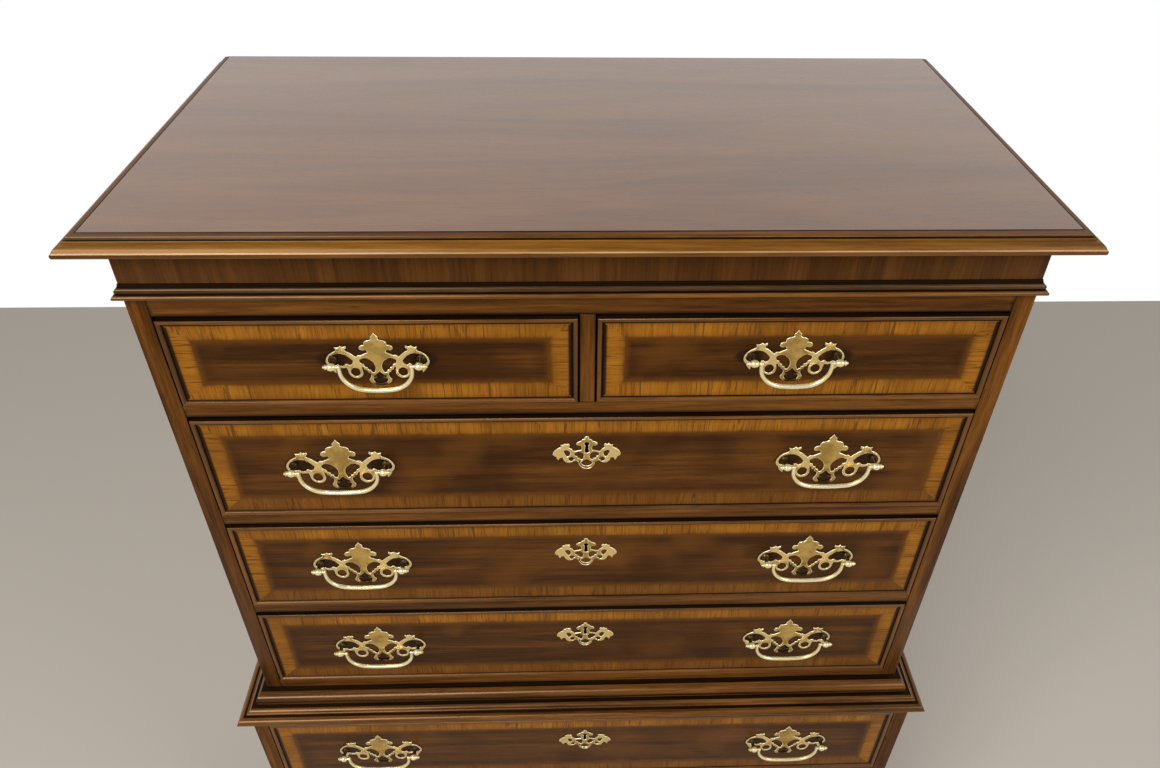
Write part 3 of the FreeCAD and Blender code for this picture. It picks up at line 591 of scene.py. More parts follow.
def sawn_block(name, low, high):
    """A block between two corners, as it comes from the saw."""
    bpy.ops.object.select_all(action="DESELECT")
    bpy.ops.mesh.primitive_cube_add(size=1.0, location=(low + high) / 2)
    block = bpy.context.object
    block.name = name
    block.scale = high - low
    apply_all()
    return block


def glue_block(inner):
    """A block that fills the corner in and back from a point, its sharp edges taken off."""
    size = Vector((0, BLOCK, FOOT_HIGH - BLOCK_LIFT))
    block = sawn_block("block", inner - Vector((BLOCK, 0, 0)), inner + size)
    edit(block)
    bpy.ops.mesh.bevel(offset=0.0015, segments=1)
    leave_edit()
    return block


def flat_curve(name, thick, bevel=0.0):
    """An empty filled curve for a shape sawn from a sheet; a bevel is kept inside the drawn line."""
    data = bpy.data.curves.new(name, "CURVE")
    data.dimensions = "2D"
    data.fill_mode = "BOTH"
    data.bevel_depth = bevel
    data.bevel_resolution = 1
    data.offset = -bevel
    data.extrude = thick / 2 - bevel
    return data


def curve_mesh(name, data):
    own_mesh(linked(name, data))
    bpy.ops.object.convert(target="MESH")
    return bpy.context.object


def stand_up(sheet, y):
    """Turn a sheet upright, facing the front, its middle at y."""
    sheet.rotation_euler = (math.pi / 2, 0, 0)
    sheet.location = (0, y, 0)
    apply_all()
    return sheet


def bracket_profile(name, near, far):
    """The face of a bracket, sawn through a board between y = near and y = far, in millimetres."""
    data = flat_curve(name, (far - near) * MM)
    spline = data.splines.new("POLY")
    spline.use_cyclic_u = True
    points = section((0.0, 0.0), (74.0, 0.0), ((71.0, 24.0), (82.0, 46.0)), (92.0, 50.0),
                     ((110.0, 88.0), (FOOT_LONG, 98.0)), (FOOT_LONG, FOOT_HIGH / MM), (0.0, FOOT_HIGH / MM))
    spline.points.add(len(points) - 1)
    for knot, (along, up) in zip(spline.points, points):
        knot.co = (-along * MM, up * MM, 0, 1)
    drawn = stand_up(curve_mesh(name, data), (near + far) / 2 * MM)
    edit(drawn)
    face_outward()
    return drawn


def ogee_bracket(name, mitred):
    """A bracket along X that ends at x = 0, with its ogee face toward -Y and the case face at y = 0."""
    profile = section((7.5, 0.0), (7.5, 11.0), ((2.0, 37.0), (7.5, 63.0)),
                      ((14.0, 91.0), (11.0, FOOT_HIGH / MM)))
    out, up = profile[0]
    board = flat_face(name, (-FOOT_LONG * MM, 0), (-out * MM, FOOT_IN * MM), 0)
    for next_out, next_up in profile[1:]:
        bpy.ops.mesh.extrude_region_move(TRANSFORM_OT_translate={"value": (0, 0, (next_up - up) * MM)})
        bpy.ops.transform.resize(value=(1, (FOOT_IN + next_out) / (FOOT_IN + out), 1),
                                 center_override=(0, FOOT_IN * MM, 0))
        out, up = next_out, next_up
    face_outward(merge=0)
    saw = bracket_profile(name + "_saw", -FOOT_OUT - SAW_OVER, FOOT_IN + SAW_OVER)
    own_mesh(board)
    cut = board.modifiers.new("saw", "BOOLEAN")
    cut.operation = "INTERSECT"
    cut.solver = "EXACT"
    cut.object = saw
    bpy.ops.object.modifier_apply(modifier="saw")
    bpy.data.objects.remove(saw)
    if mitred:
        edit(board)
        bpy.ops.mesh.bisect(plane_co=(0, -FOOT_OUT * MM, 0), plane_no=(1, 1, 0), use_fill=True,
                            clear_outer=True)
        leave_edit()
    return board


def placed(source, name, matrix, material):
    """A copy of a pattern, set in place and turned the right way out if it was mirrored."""
    piece = linked(name, source.data.copy())
    piece.data.transform(matrix)
    if matrix.determinant() < 0:
        piece.data.flip_normals()
    put_on(piece, material)
    return piece


def join(parts):
    """Join parts into the first of them."""
    bpy.ops.object.select_all(action="DESELECT")
    for part in parts:
        part.select_set(True)
    bpy.context.view_layer.objects.active = parts[0]
    bpy.ops.object.join()
    return bpy.context.object


def join_foot(name, parts):
    foot = join(parts)
    foot.name = name + "_shaped"
    smooth(foot, 25)
    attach(foot, "case")
    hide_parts(name)


oak_block = timber("oak_block", 2, ((0.14, 0.080, 0.034), (0.24, 0.150, 0.070), (0.34, 0.220, 0.110)))
mitred = ogee_bracket("mitred_bracket", True)
square = ogee_bracket("square_bracket", False)
back_board = bracket_profile("back_board", -BACK_BOARD, 0.0)
swap = Matrix(((0, -1, 0, 0), (-1, 0, 0, 0), (0, 0, 1, 0), (0, 0, 0, 1)))
quarter = Matrix(((0, -1, 0, 0), (1, 0, 0, 0), (0, 0, 1, 0), (0, 0, 0, 1)))
front_corner = Matrix.Translation((LOWER_HALF + FOOT_OUT * MM, LOWER_FRONT, 0))
side_corner = Matrix.Translation((LOWER_HALF, LOWER_FRONT - FOOT_OUT * MM, 0))
back_corner = Matrix.Translation((LOWER_HALF, BACK, 0))
block_x = LOWER_HALF - FOOT_IN * MM
front_block = glue_block(Vector((block_x, LOWER_FRONT + FOOT_IN * MM, BLOCK_LIFT)))
rear_block = glue_block(Vector((block_x, BACK - BACK_BOARD * MM - BLOCK, BLOCK_LIFT)))
for word, mirror in (("right", Matrix.Identity(4)), ("left", Matrix.Scale(-1, 4, (1, 0, 0)))):
    join_foot("front_%s_foot" % word, [
        placed(mitred, "front_bracket", mirror @ front_corner, case_across),
        placed(mitred, "side_bracket", mirror @ side_corner @ swap, case_return),
        placed(front_block, "corner_block", mirror, oak_block)])
    join_foot("rear_%s_foot" % word, [
        placed(square, "side_bracket", mirror @ back_corner @ quarter, case_return),
        placed(back_board, "back_board", mirror @ Matrix.Translation((block_x, BACK, 0)), case_across),
        placed(rear_block, "corner_block", mirror, oak_block)])
for pattern in (mitred, square, back_board, front_block, rear_block):
    bpy.data.objects.remove(pattern)

# ------------------------------ drawer fronts
# Each front is a board with a dark figured veneer, mitred cross-banding whose grain runs out to the
# edge, a fine sunk quirk full of black glaze, and a proud cock-bead let in all round.
# The front's edges beside the gaps and the outer sides of the bead are painted black, as painted shade.
BEAD = 0.005
BEAD_PROUD = 0.0025
BEAD_DEEP = 0.0060
SIDE_RELIEF = 0.00012      # the tails of the drawer sides stand this much proud of the front's ends
QUIRK = 0.0007             # width of each side, and depth
QUIRK_FLOOR = 0.6          # width of its floor, as a share of that
BAND_SIDE, BAND_TOP, BAND_LOW = 0.0215, 0.0175, 0.0200
SUNBURST = 0.0300
BEAD_ROUND = 0.0004        # the first of three small steps that round the bead's face
GLAZE_AND_SHADE_COLOUR = (0.006, 0.003, 0.0015)

hatch, hatch_in, hatch_out = group_with("banding_hatch", {"Vector": "Vector"}, {"Mask": "Float"})
hatch_place = hatch_in.outputs["Vector"]
ridge = noise_node(hatch_place, 2.6, 2.0, 0.5, 0.5)
ridge = math_node("ABSOLUTE", math_node("SUBTRACT", ridge, 0.5))
line = range_node(ridge, 0.010, 0.040, 1.0, 0.0)
patchy = range_node(noise_node(hatch_place, 1.3, 2.0), 0.36, 0.58)
short_lines = range_node(noise_node(hatch_place, 7.0, 3.0, 0.7), 0.56, 0.68)
give(hatch_out, {
    "Mask": math_node("MAXIMUM", times(line, patchy), times(short_lines, 0.6))})


def distance_in(material):
    """From 0 at the quirk to 1 at the banding's inner edge, as it was drawn and a little uneven."""
    inlay = attribute(material, "inlay")
    wobble = noise_node(object_place(material.node_tree), 90.0, 3.0, 0.6)
    wobble = times(math_node("SUBTRACT", wobble, 0.5), 0.22)
    return inlay, math_node("ADD", inlay, wobble)


def banding(name, along, glaze_and_shade_width, tones):
    """Golden cross-banding with hatched dark lines, black glaze and painted shade at the bead, and a soft
    inner edge.
    """
    material = timber(name, along, tones, pores=0.55, across=80.0)
    tree = material.node_tree
    dark_lines = add_node(tree, "Group", node_tree=hatch)
    give(dark_lines, {"Vector": tree.nodes["Mapping"].outputs["Vector"]})
    straight, uneven = distance_in(material)
    from_middle = math_node("ABSOLUTE", math_node("SUBTRACT", uneven, 0.48))
    patches = range_node(noise_node(object_place(tree), 14.0, 2.0), 0.42, 0.64, 0.0, 0.42)
    lay_over(material,
             (times(dark_lines.outputs["Mask"], 0.66), (0.040, 0.014, 0.003)),
             (patches, (0.110, 0.037, 0.0035)),
             (range_node(from_middle, 0.12, 0.60, 0.0, 0.42), (0.080, 0.027, 0.003)),
             (range_node(uneven, 0.84, 1.06, 0.0, 0.80), (0.080, 0.026, 0.003)),
             # black glaze and painted shade against the bead, wider at the ends
             (range_node(straight, glaze_and_shade_width - 0.12, glaze_and_shade_width, 0.95, 0.0), GLAZE_AND_SHADE_COLOUR))
    return material


def shade_and_wax_near_brass(material):
    """1 on the wood behind the pulls, fading out past their edges: painted shade under the plate, round the
    posts and under the drop, with some old wax and dirt.
    """
    place = attribute(material, "pulls", "Vector")
    parts = add_node(material.node_tree, "SeparateXYZ", {"Vector": place}).outputs
    along = math_node("SUBTRACT", math_node("ABSOLUTE", parts["X"]), parts["Z"])
    along = math_node("ABSOLUTE", along)

    def patch(out, up, wide, high, strength):
        """A soft dark oval, out from the plate's middle and up from its posts, in metres."""
        across = math_node("DIVIDE", math_node("SUBTRACT", along, out), wide)
        upward = math_node("DIVIDE", math_node("SUBTRACT", parts["Y"], up), high)
        away = math_node("ADD", times(across, across), times(upward, upward))
        return range_node(away, 0.45, 1.30, strength, 0.0)

    whole = patch(0, 0, 0.058, 0.038, 0.30)
    posts = patch(0.046, -0.002, 0.016, 0.010, 0.88)
    drop = patch(0, -0.026, 0.014, 0.012, 0.80)
    return math_node("MAXIMUM", whole, math_node("MAXIMUM", posts, drop))


def field():
    """Dark figured veneer, with the golden colour of the banding fading into its edge."""
    tones = ((0.036, 0.0120, 0.0025), (0.080, 0.0275, 0.0046), (0.130, 0.0465, 0.0080))
    material = timber("field_veneer", 0, tones, pores=0.45, offset=7.0, across=70.0)
    uneven = distance_in(material)[1]
    clouds, glow = (noise_node(object_place(material.node_tree), scale, 2.0) for scale in (8.0, 11.0))
    lay_over(material,
             (range_node(uneven, 1.15, 1.0 + SUNBURST / BAND_SIDE, 0.52, 0.0), (0.026, 0.0085, 0.0022)),
             (range_node(clouds, 0.46, 0.66, 0.0, 0.60), (0.028, 0.0085, 0.0018)),
             (range_node(glow, 0.52, 0.72, 0.0, 0.50), (0.135, 0.047, 0.0065)),
             (range_node(uneven, 0.90, 1.38, 0.80, 0.0), (0.130, 0.045, 0.0052)),
             # painted shade, with some old wax, on the wood behind the pulls
             (shade_and_wax_near_brass(material), (0.012, 0.0045, 0.0015)))
    return material


bead_across = timber("bead_across", 0, CASE_TONES, coat=0.10, shine=0.9, offset=4.4)
bead_upright = timber("bead_upright", 2, CASE_TONES, coat=0.10, shine=0.9, offset=6.1)
BAND_TONES = ((0.262, 0.095, 0.0080), (0.310, 0.116, 0.0100), (0.360, 0.140, 0.0130))
LOW_BAND_TONES = ((0.142, 0.051, 0.0060), (0.172, 0.063, 0.0078), (0.205, 0.078, 0.0100))
FRONT_MATERIALS = (
    field(), banding("banding_top", 2, 0.06, BAND_TONES), banding("banding_low", 2, 0.08, LOW_BAND_TONES),
    banding("banding_side", 0, 0.20, BAND_TONES), glaze_and_shade, bead_across, bead_upright)
FIELD, BAND_HIGH, BAND_UNDER, BAND_END, GLAZE_AND_SHADE, BEAD_X, BEAD_Z = range(len(FRONT_MATERIALS))


def drawer_front(name):
    """Saw a front, step its face into bead, quirk, banding and field, and give each its own veneer."""
    low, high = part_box(name + "_front")
    face_y = low.y + BEAD_PROUD
    left, right = low.x + SIDE_RELIEF, high.x - SIDE_RELIEF
    panel = BEAD + QUIRK * (2 + QUIRK_FLOOR)
    short = name.startswith("short")

    def inward(x, z):
        """(how far in, as a share of the banding, and which side is nearest: 0 top, 1 bottom, 2 an end)."""
        return min(((high.z - z - panel) / BAND_TOP, 0), ((z - low.z - panel) / BAND_LOW, 1),
                   ((x - left - panel) / BAND_SIDE, 2), ((right - x - panel) / BAND_SIDE, 2))

    def from_edge(point):
        return min(point.x - left, right - point.x, point.z - low.z, high.z - point.z)

    front = sawn_block(name + "_front_veneered", Vector((left, face_y, low.z)),
                       Vector((right, high.y, high.z)))
    put_on(front, *FRONT_MATERIALS)
    edit(front)
    bpy.ops.mesh.select_mode(type="FACE")
    bpy.ops.mesh.bisect(plane_co=(0, face_y + BEAD_DEEP, 0), plane_no=(0, 1, 0))
    leave_edit()
    # Painted shade: the front's edges, back to the bead's depth, face the dark gaps and are made black.
    for face in front.data.polygons:
        face.material_index = GLAZE_AND_SHADE if face.center.y < face_y + BEAD_DEEP else BEAD_X
        face.select = face.normal.y < -0.9
    bpy.ops.object.mode_set(mode="EDIT")
    for thickness, depth in ((BEAD, 0), (QUIRK, -QUIRK), (QUIRK * QUIRK_FLOOR, 0), (QUIRK, QUIRK),
                             (BAND_SIDE, 0)):
        bpy.ops.mesh.inset(thickness=thickness, depth=depth)
    inner_high = high.z - low.z - 2 * (panel + BAND_SIDE)
    grow = 2 * BAND_SIDE - BAND_TOP - BAND_LOW
    still = high.z - panel - BAND_SIDE - (BAND_SIDE - BAND_TOP) * inner_high / grow
    bpy.ops.transform.resize(value=(1, 1, 1 + grow / inner_high), center_override=(0, face_y, still))
    bpy.ops.mesh.inset(thickness=min(SUNBURST, (inner_high + grow) * 0.45))
    leave_edit()
    for face in front.data.polygons:
        face.select = False
        if face.normal.y > -0.5 and face.center.y > face_y + QUIRK:
            continue
        depth, side = inward(face.center.x, face.center.z)
        if from_edge(face.center) < BEAD and face.normal.y < -0.5:
            face.material_index = BEAD_Z if side == 2 else BEAD_X
            face.select = True
        elif depth < 0:
            face.material_index = GLAZE_AND_SHADE
        elif depth < 1:
            face.material_index = (BAND_HIGH, BAND_HIGH if short else BAND_UNDER, BAND_END)[side]
        else:
            face.material_index = FIELD
    bpy.ops.object.mode_set(mode="EDIT")
    for thickness, rise in ((BEAD_ROUND, 0.62), (0.0006, 0.26), (0.0006, 0.10)):
        bpy.ops.mesh.inset(thickness=thickness, depth=BEAD_PROUD * rise)
    leave_edit()
    # Painted shade: the outer sides of the bead, facing the gap, are made black.
    for face in front.data.polygons:
        if face.center.y < face_y and from_edge(face.center) < BEAD_ROUND:
            face.material_index = GLAZE_AND_SHADE
    inlay = front.data.attributes.new("inlay", "FLOAT", "POINT")
    for vertex, entry in zip(front.data.vertices, inlay.data):
        entry.value = inward(vertex.co.x, vertex.co.z)[0]
    hinges = [joint["pos_m"] for joint in frame["joints"] if joint["parent"] == name]
    middle = sum(place[0] for place in hinges) / len(hinges)
    pulls = front.data.attributes.new("pulls", "FLOAT_VECTOR", "POINT")
    for vertex, entry in zip(front.data.vertices, pulls.data):
        entry.vector = (vertex.co.x - middle, vertex.co.z - hinges[0][2], abs(hinges[0][0] - middle))
    smooth(front, 35)
    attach(front, name)
    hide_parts(name + "_front")


drawer_names = [body for body in frame["bodies"] if "drawer" in body and "bail" not in body]
for name in drawer_names:
    drawer_front(name)

# ------------------------------ drawer boxes and inner woodwork
# Drawer sides, backs and bottoms, runners, dust panels, deck and back panels: plain planed oak,
# unpolished, with an open grain, dovetailed, housed and grooved together.
OAK_TONES = ((0.20, 0.115, 0.050), (0.32, 0.200, 0.095), (0.43, 0.290, 0.150))
oak_level = timber("oak_level", 0, OAK_TONES)
oak_deep = timber("oak_deep", 1, OAK_TONES)
inner_woodwork = {
    "upper_runners": oak_deep, "lower_runners": oak_deep, "dust_panels": oak_level, "lower_deck": oak_level,
    "upper_back_panel": timber("oak_upright", 2, OAK_TONES),
    "lower_back_panel": timber("oak_lower_back", 2, OAK_TONES, offset=3.3)}
for name in drawer_names:
    inner_woodwork[name + "_box"] = oak_deep
for node, material in inner_woodwork.items():
    put_on(frame["nodes"][node], material)

# ------------------------------ back plates
# Pierced batwing plates, cast in brass and filed: bright on the face, with a paler painted highlight
# on the filed edges, and the sawn edges of the piercings dark, partly patina and partly painted shade.
# Pinned to the drawer front behind the posts.
PLATE_THICK = 0.0016
LONG_BORING = 0.1016
SHORT_BORING = 0.0889
HEAD_OUT = 0.014           # from a plate's face out to its bail's hinge line
EDGE_FILED = 0.0007
SIDE_FACING = 0.3          # a face turned less than this to the front is a sawn edge
FULL_FACING = 0.99
# The drop in the middle of a back plate, painted dark, partly tarnish and partly shade under the bail, in
# millimetres of the drawing:
DROP_TOP = -24.5
DROP_TIPS = 7.5


def brass(name, bright, dull, roughness, patina, metal=0.88):
    """Lacquered brass with cloudy polish and brown patina in patches."""
    material = new_material(name, {"Metallic": metal})
    tree = material.node_tree
    place = object_place(tree)
    cloud = noise_node(place, 60.0, 4.0, 0.6)
    speck = noise_node(place, 420.0, 3.0, 0.6)
    tint = mix_node(range_node(cloud, 0.35, 0.65), bright, dull)
    worn = range_node(speck, 0.56, 0.74, 0.0, patina)
    relief = add_node(tree, "Bump", {"Strength": 0.25, "Distance": 0.0006,
                                     "Height": noise_node(place, 150.0, 2.0)})
    give(tree.nodes["Principled BSDF"], {
        "Base Color": mix_node(worn, tint, (0.10, 0.055, 0.018)),
        "Roughness": range_node(cloud, 0.3, 0.7, roughness * 0.75, roughness * 1.35),
        "Normal": relief.outputs["Normal"]})
    return material


plate_brass = brass("plate_brass", (0.68, 0.46, 0.135), (0.44, 0.28, 0.075), 0.22, 0.40)
# The pierced arms are painted paler than the middle of the plate, a painted highlight.
drawn_place = attribute(plate_brass, "drawn", "Vector")
drawn_x = add_node(plate_brass.node_tree, "SeparateXYZ", {"Vector": drawn_place}).outputs["X"]
arms_highlight = range_node(math_node("ABSOLUTE", drawn_x), 13.0, 22.0)
lay_over(plate_brass, (arms_highlight, (0.86, 0.65, 0.27)))
# Paler, less metallic brass for the filed edges: a painted highlight.
rim_brass = brass("rim_brass", (1.0, 0.91, 0.60), (0.95, 0.78, 0.42), 0.36, 0.08, 0.72)
# Dark brass for sawn edges, the drop and the post stems: partly tarnish, partly painted shade.
tarnished_brass = brass("tarnished_brass", (0.10, 0.060, 0.022), (0.035, 0.020, 0.008), 0.42, 0.6)
# Paler, less metallic brass for the bails and post heads: a painted highlight.
bright_brass = brass("bail_brass", (1.0, 0.90, 0.58), (0.90, 0.74, 0.38), 0.30, 0.12, 0.60)

# Right-hand halves of the outlines, in millimetres from the point between the posts. A knot is smooth
# unless it says that it is a corner.
SMOOTH, CORNER = "AUTO", "VECTOR"
plate_half = [
    (0.0, 36.2, CORNER), (2.5, 32.4), (4.6, 29.6), (3.8, 27.4, CORNER), (6.4, 26.0), (9.6, 25.2),
    (12.8, 22.6), (13.2, 19.0, CORNER), (16.6, 18.6), (19.3, 15.6), (18.4, 12.4), (15.4, 11.2, CORNER),
    (12.2, 11.8), (10.6, 8.6, CORNER), (14.6, 6.6), (19.0, 4.4, CORNER), (21.4, 4.8),
    (24.4, 2.0, CORNER), (28.0, 5.4), (32.0, 8.8), (34.8, 10.4, CORNER), (36.0, 12.6), (33.6, 14.8),
    (34.0, 18.0, CORNER), (37.4, 16.6), (40.6, 18.2, CORNER), (42.8, 16.0), (47.6, 16.2, CORNER),
    (46.4, 13.2), (47.0, 10.8, CORNER), (51.8, 8.2), (56.6, 3.8), (59.8, -3.4), (58.8, -8.6),
    (56.4, -12.0, CORNER), (54.6, -16.2), (50.3, -21.2, CORNER), (49.4, -15.6), (46.4, -12.4, CORNER),
    (42.4, -13.8), (37.6, -13.4, CORNER), (36.4, -17.0), (35.8, -21.6), (32.8, -26.6), (27.8, -28.8),
    (22.6, -27.4), (19.4, -23.0), (19.2, -17.6), (20.2, -12.2, CORNER), (17.8, -13.4),
    (17.0, -16.2, CORNER), (14.4, -17.2), (13.4, -19.8, CORNER), (11.2, -20.8), (10.2, -24.0, CORNER),
    (11.4, -27.6), (13.4, -30.8, CORNER), (12.2, -34.2), (8.8, -37.0), (4.6, -38.8), (0.0, -39.2)]
plate_oval = [
    (21.4, -2.2, CORNER), (15.4, 0.6), (8.8, -2.4), (4.2, -9.4), (4.2, -15.6), (6.2, -20.4, CORNER),
    (8.8, -19.4), (9.6, -16.6, CORNER), (12.2, -15.8), (13.0, -13.0, CORNER), (15.6, -11.8),
    (17.0, -8.4, CORNER), (20.2, -6.8)]
plate_ring = [
    (33.2, -19.6), (27.6, -13.4), (22.0, -19.6), (27.6, -25.8)]
plate_side = [
    (28.6, -3.0, CORNER), (35.6, 4.4), (42.2, 7.0), (48.6, 6.0), (54.4, 2.2), (57.2, -3.4),
    (55.6, -7.6, CORNER), (51.0, -9.4), (46.6, -8.4, CORNER), (44.2, -10.4), (39.6, -10.0, CORNER),
    (37.0, -7.6), (33.4, -9.6, CORNER), (30.2, -7.6)]
plate_drop = [
    (0.0, -18.6, CORNER), (3.0, -22.2), (6.4, -25.0, CORNER), (6.8, -26.8), (4.4, -26.4), (2.6, -28.0),
    (4.8, -29.6), (8.4, -29.4, CORNER), (8.2, -32.4), (4.6, -35.2), (0.0, -36.4)]


def add_spline(data, points, scale):
    spline = data.splines.new("BEZIER")
    spline.use_cyclic_u = True
    spline.resolution_u = 5
    spline.bezier_points.add(len(points) - 1)
    for knot, (x, z, *kind) in zip(spline.bezier_points, points):
        knot.co = (x * scale * MM, z * scale * MM, 0)
        knot.handle_left_type = knot.handle_right_type = kind[0] if kind else SMOOTH


def flipped(points):
    return [(-x, *rest) for x, *rest in points]


def mirrored(points):
    """A right-hand half, closed with its mirror image."""
    return points + flipped([knot for knot in reversed(points) if knot[0] > 0])


def pierced_plate(name, outline, middle_holes, side_holes, scale=1.0):
    """Saw a plate from its drawn outline, upright at the origin, its edge filed round."""
    data = flat_curve(name, PLATE_THICK, EDGE_FILED * scale)
    for half in [outline] + middle_holes:
        add_spline(data, mirrored(half), scale)
    for hole in side_holes:
        add_spline(data, hole, scale)
        add_spline(data, flipped(hole), scale)
    plate = stand_up(curve_mesh(name, data), -PLATE_THICK / 2)
    put_on(plate, plate_brass, rim_brass, tarnished_brass)
    # The flat face gets plate brass, the filed edges the paler rim brass as a painted highlight, and the
    # sawn edges and lower drop the dark brass, partly tarnish and partly painted shade.
    for face in plate.data.polygons:
        facing = abs(face.normal.y)
        across, up = abs(face.center.x) / scale / MM, face.center.z / scale / MM
        shaded = middle_holes[0] is plate_drop and up < DROP_TOP and across < DROP_TIPS
        face.material_index = 2 if facing < SIDE_FACING or shaded else 0 if facing > FULL_FACING else 1
    local = plate.data.attributes.new("drawn", "FLOAT_VECTOR", "POINT")
    for vertex, entry in zip(plate.data.vertices, local.data):
        entry.vector = (vertex.co.x / scale / MM, vertex.co.z / scale / MM, 0)
    smooth(plate, 50)
    return plate


def copy_to(source, name, place):
    piece = linked(name, source.data.copy())
    piece.data.transform(Matrix.Translation(place))
    return piece


def pull_places():
    """Each pull's bail, drawer and place between its posts on the plate's face, and whether it is short."""
    for joint in frame["joints"]:
        if joint["type"] == "hinge":
            face = Vector(joint["pos_m"]) + Vector((0, PLATE_THICK + HEAD_OUT, 0))
            yield joint["child"], joint["parent"], face, joint["parent"].startswith("short")


plate_holes = [plate_oval, plate_ring, plate_side]
long_plate = pierced_plate("long_plate", plate_half, [plate_drop], plate_holes)
short_plate = pierced_plate("short_plate", plate_half, [plate_drop], plate_holes,
                            SHORT_BORING / LONG_BORING)
for bail, drawer, face, short in pull_places():
    plate = copy_to(short_plate if short else long_plate, bail.replace("bail", "plate"), face)
    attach(plate, drawer)
    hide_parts(drawer + "_brasses")

# ------------------------------ keyhole plates
# A smaller pierced plate over the lock of each long drawer, cast and filed like the others and pinned
# on, with a thin black sheet behind its keyhole as painted shade for the dark hole.
KEYHOLE_SHADE_THICK = 0.0003
BELOW_FRONT = 0.001        # the opening is this much lower than the drawer's front
ABOVE_FRONT = 0.004
KEY_RISE = 0.0268          # the middle of a plate's drawing over the middle of the opening
key_half = [
    (0.0, 16.0), (2.6, 14.2), (2.4, 12.1, CORNER), (5.0, 11.3), (6.6, 9.2, CORNER), (10.4, 7.3),
    (12.0, 4.8), (10.0, 2.4), (7.0, 2.2, CORNER), (5.8, -0.8), (6.2, -4.1, CORNER), (10.2, -5.1),
    (14.6, -6.1, CORNER), (16.4, -3.2), (20.2, -0.3, CORNER), (18.8, 3.0), (20.2, 5.5, CORNER),
    (22.6, 4.4), (24.8, 5.5, CORNER), (26.6, 3.6), (29.4, 3.4, CORNER), (28.6, 0.3, CORNER),
    (33.6, -2.8), (37.6, -8.0), (37.7, -11.6), (34.2, -14.5, CORNER), (33.4, -17.2),
    (31.6, -19.9, CORNER), (30.2, -16.5), (27.0, -15.7, CORNER), (25.4, -20.3), (21.2, -23.4),
    (16.8, -22.6), (14.2, -19.9, CORNER), (11.6, -20.9), (9.2, -22.6, CORNER), (9.2, -25.5, CORNER),
    (7.4, -28.8), (4.0, -32.5), (0.0, -33.5)]
key_hole = [
    (0.0, 7.4), (2.7, 5.0), (1.5, 2.0, CORNER), (2.5, -8.0, CORNER), (0.0, -8.4)]
key_oval = [
    (3.4, -14.4), (4.4, -9.6), (8.8, -7.1), (13.9, -9.4, CORNER), (12.8, -13.0), (10.6, -13.4, CORNER),
    (9.8, -16.2), (7.4, -16.6, CORNER), (6.2, -18.6)]
key_ring = [
    (20.4, -18.0), (17.0, -14.4), (13.6, -18.0), (17.0, -21.2)]
key_eye = [
    (25.8, -5.4, CORNER), (22.2, -4.6), (18.6, -7.0, CORNER), (19.4, -12.4), (21.8, -14.4, CORNER),
    (24.0, -10.8)]
key_drop = [
    (0.0, -18.2, CORNER), (3.4, -20.4), (6.6, -23.2, CORNER), (4.2, -26.8), (0.0, -28.2)]
key_plate = pierced_plate("key_plate", key_half, [key_hole, key_drop], [key_oval, key_ring, key_eye])
# A thin black sheet behind the keyhole: painted shade for the dark hole.
keyhole_shade_data = flat_curve("keyway", KEYHOLE_SHADE_THICK)
add_spline(keyhole_shade_data, mirrored(key_hole), 1.0)
keyway = stand_up(curve_mesh("keyway", keyhole_shade_data), -KEYHOLE_SHADE_THICK / 2)
put_on(keyway, new_material("keyway_black", {
    "Base Color": (0.006, 0.004, 0.003, 1), "Specular IOR Level": 0.0}))

for name in drawer_names:
    if not name.startswith("short"):
        low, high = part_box(name + "_front")
        opening_middle = (low.z - BELOW_FRONT + high.z + ABOVE_FRONT) / 2
        centre = Vector((0, low.y + BEAD_PROUD, opening_middle + KEY_RISE))
        for pattern, word in ((key_plate, "_key_plate"), (keyway, "_keyway")):
            piece = copy_to(pattern, name + word, centre)
            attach(piece, name)
            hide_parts(name + "_brasses")

# ------------------------------ posts
# Each bail hangs between two turned posts: a flared foot on the plate, a neck, and a turned head with a
# ball, a ring and a button, bored on its inner side for the bail's pin. A nut holds it inside.
EYE_RADIUS = 1.7           # millimetres


def turn(name, stations, axis_y=0.0):
    """Lathe work along X; stations are (distance, radius) in millimetres."""
    bpy.ops.object.select_all(action="DESELECT")
    here, radius = stations[0]
    bpy.ops.mesh.primitive_circle_add(vertices=24, radius=radius * MM, fill_type="NGON",
                                      location=(here * MM, axis_y, 0), rotation=(0, math.pi / 2, 0))
    work = bpy.context.object
    work.name = name
    apply_all()
    edit(work)
    for distance, next_radius in stations[1:]:
        bpy.ops.mesh.extrude_region_move(TRANSFORM_OT_translate={"value": ((distance - here) * MM, 0, 0)})
        bpy.ops.transform.resize(value=(1, next_radius / radius, next_radius / radius),
                                 center_override=(distance * MM, axis_y, 0))
        here, radius = distance, next_radius
    face_outward(merge=0)
    smooth(work, 34)
    return work


head = turn("post_head", [
    (0.3, EYE_RADIUS), (-4.7, EYE_RADIUS), (-4.8, 2.3), (-4.2, 2.9), (-3.0, 3.6), (-1.4, 4.05),
    (0.4, 4.1), (2.0, 3.6), (3.2, 2.7), (3.7, 2.0), (4.2, 2.0), (4.6, 2.7), (5.2, 2.9), (5.7, 2.5),
    (6.1, 1.6), (6.6, 1.4), (7.1, 1.75), (7.6, 1.4), (8.0, 0.5)], -PLATE_THICK - HEAD_OUT)
put_on(head, bright_brass)
stem = turn("post_stem", [
    (-PLATE_THICK / MM, 4.6), (0.9, 4.6), (1.5, 4.3), (2.1, 3.7), (3.2, 3.0), (4.6, 2.6), (7.0, 2.3),
    (10.0, 2.2), (12.0, 2.4)])
own_mesh(stem)
stem.rotation_euler = (0, 0, -math.pi / 2)
stem.location = (0, -PLATE_THICK, 0)
apply_all()
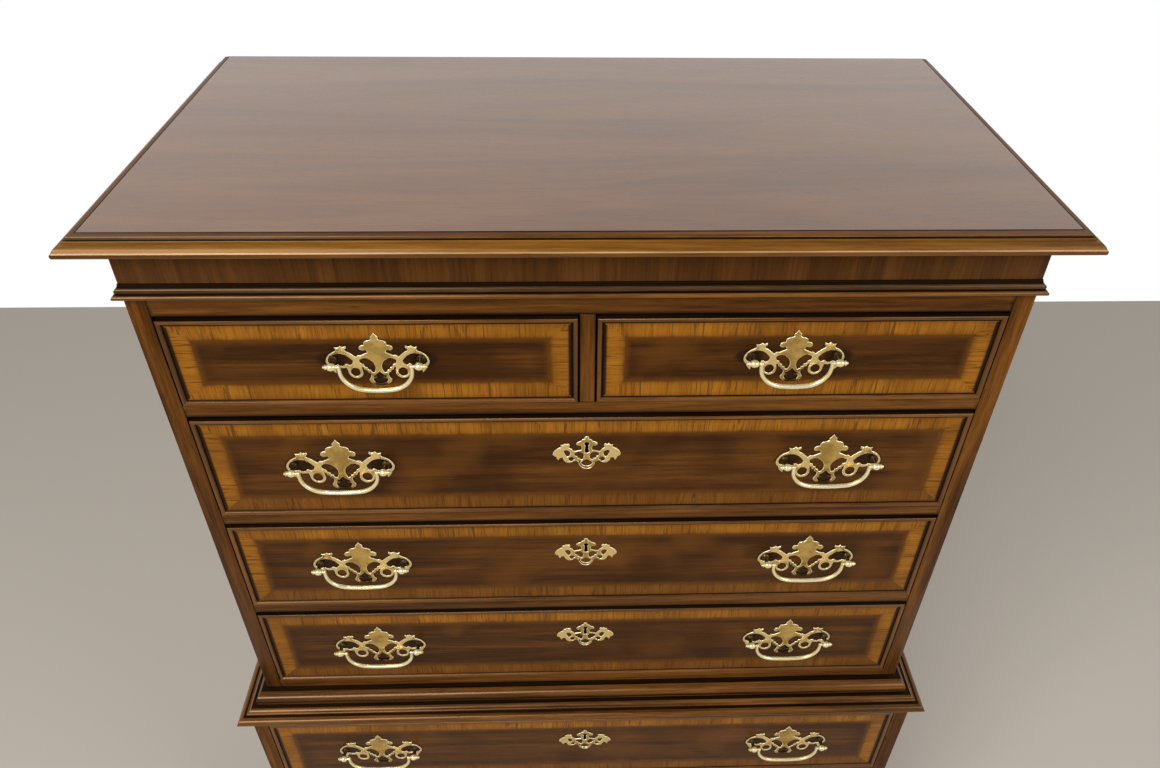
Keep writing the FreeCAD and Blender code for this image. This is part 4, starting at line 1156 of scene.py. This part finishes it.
# The stem is painted dark, partly tarnish and partly shade.
put_on(stem, tarnished_brass)
right_post = join([head, stem])
left_post = copy_to(right_post, "left_post", (0, 0, 0))
left_post.data.transform(Matrix.Scale(-1, 4, (1, 0, 0)))
left_post.data.flip_normals()
for bail, drawer, face, short in pull_places():
    reach = Vector(((SHORT_BORING if short else LONG_BORING) / 2, 0, 0))
    for pattern, word, place in ((left_post, "_left", face - reach), (right_post, "_right", face + reach)):
        post = copy_to(pattern, bail.replace("bail", "post") + word, place)
        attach(post, drawer)
        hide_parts(drawer + "_brasses")

# ------------------------------ bails
# Cast drop handles, thicker at the grip, with a turned-out shoulder and a round pin at each end.
# Each swings on its own between two posts. These sizes are in millimetres.
LEG_IN = 8.4               # from a post's middle in to the leg
PIN_REACH = 7.8            # from the leg out to the pin's end
PIN_RADIUS = 1.5
LEG_RADIUS = 2.0
GRIP_RADIUS = 2.5


def bend_bail(name, boring):
    """Sweep a round bar, swelling at the grip, along the bail's centre line."""
    half = boring / 2 / MM - LEG_IN
    right = [(half + 0.2, 0.0, LEG_RADIUS), (half + 0.2, -5.6, LEG_RADIUS), (half - 1.0, -12.6, 2.1),
             (half - 4.0, -18.6, 2.2), (half - 9.4, -24.2, 2.35), (half - 17.4, -28.2, 2.5),
             (half - 27.0, -29.7, GRIP_RADIUS)]
    path = right + flipped(reversed(right))
    data = bpy.data.curves.new(name, "CURVE")
    data.dimensions = "3D"
    data.bevel_depth = MM
    data.bevel_resolution = 4
    data.use_fill_caps = True
    spline = data.splines.new("BEZIER")
    spline.resolution_u = 6
    spline.bezier_points.add(len(path) - 1)
    for knot, (x, z, radius) in zip(spline.bezier_points, path):
        knot.co = (x * MM, 0, z * MM)
        knot.radius = radius
        knot.handle_left_type = knot.handle_right_type = SMOOTH
    bar = curve_mesh(name, data)
    smooth(bar, 40)
    pin = [(half - 1.6, 0.9), (half - 1.2, 1.8), (half + 0.4, 2.2), (half + 1.7, 1.9),
           (half + 2.1, PIN_RADIUS), (half + PIN_REACH, PIN_RADIUS)]
    bail = join([bar, turn(name + "_left_pin", flipped(pin)), turn(name + "_right_pin", pin)])
    put_on(bail, bright_brass)
    return bail


long_bail = bend_bail("long_bail", LONG_BORING)
short_bail = bend_bail("short_bail", SHORT_BORING)
for joint in frame["joints"]:
    if joint["type"] == "hinge":
        pattern = short_bail if joint["parent"].startswith("short") else long_bail
        bail = copy_to(pattern, joint["child"] + "_cast", Vector(joint["pos_m"]))
        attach(bail, joint["child"])
        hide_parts(joint["child"])

for pattern in (keyway, long_plate, short_plate, key_plate, left_post, right_post, long_bail, short_bail):
    bpy.data.objects.remove(pattern)
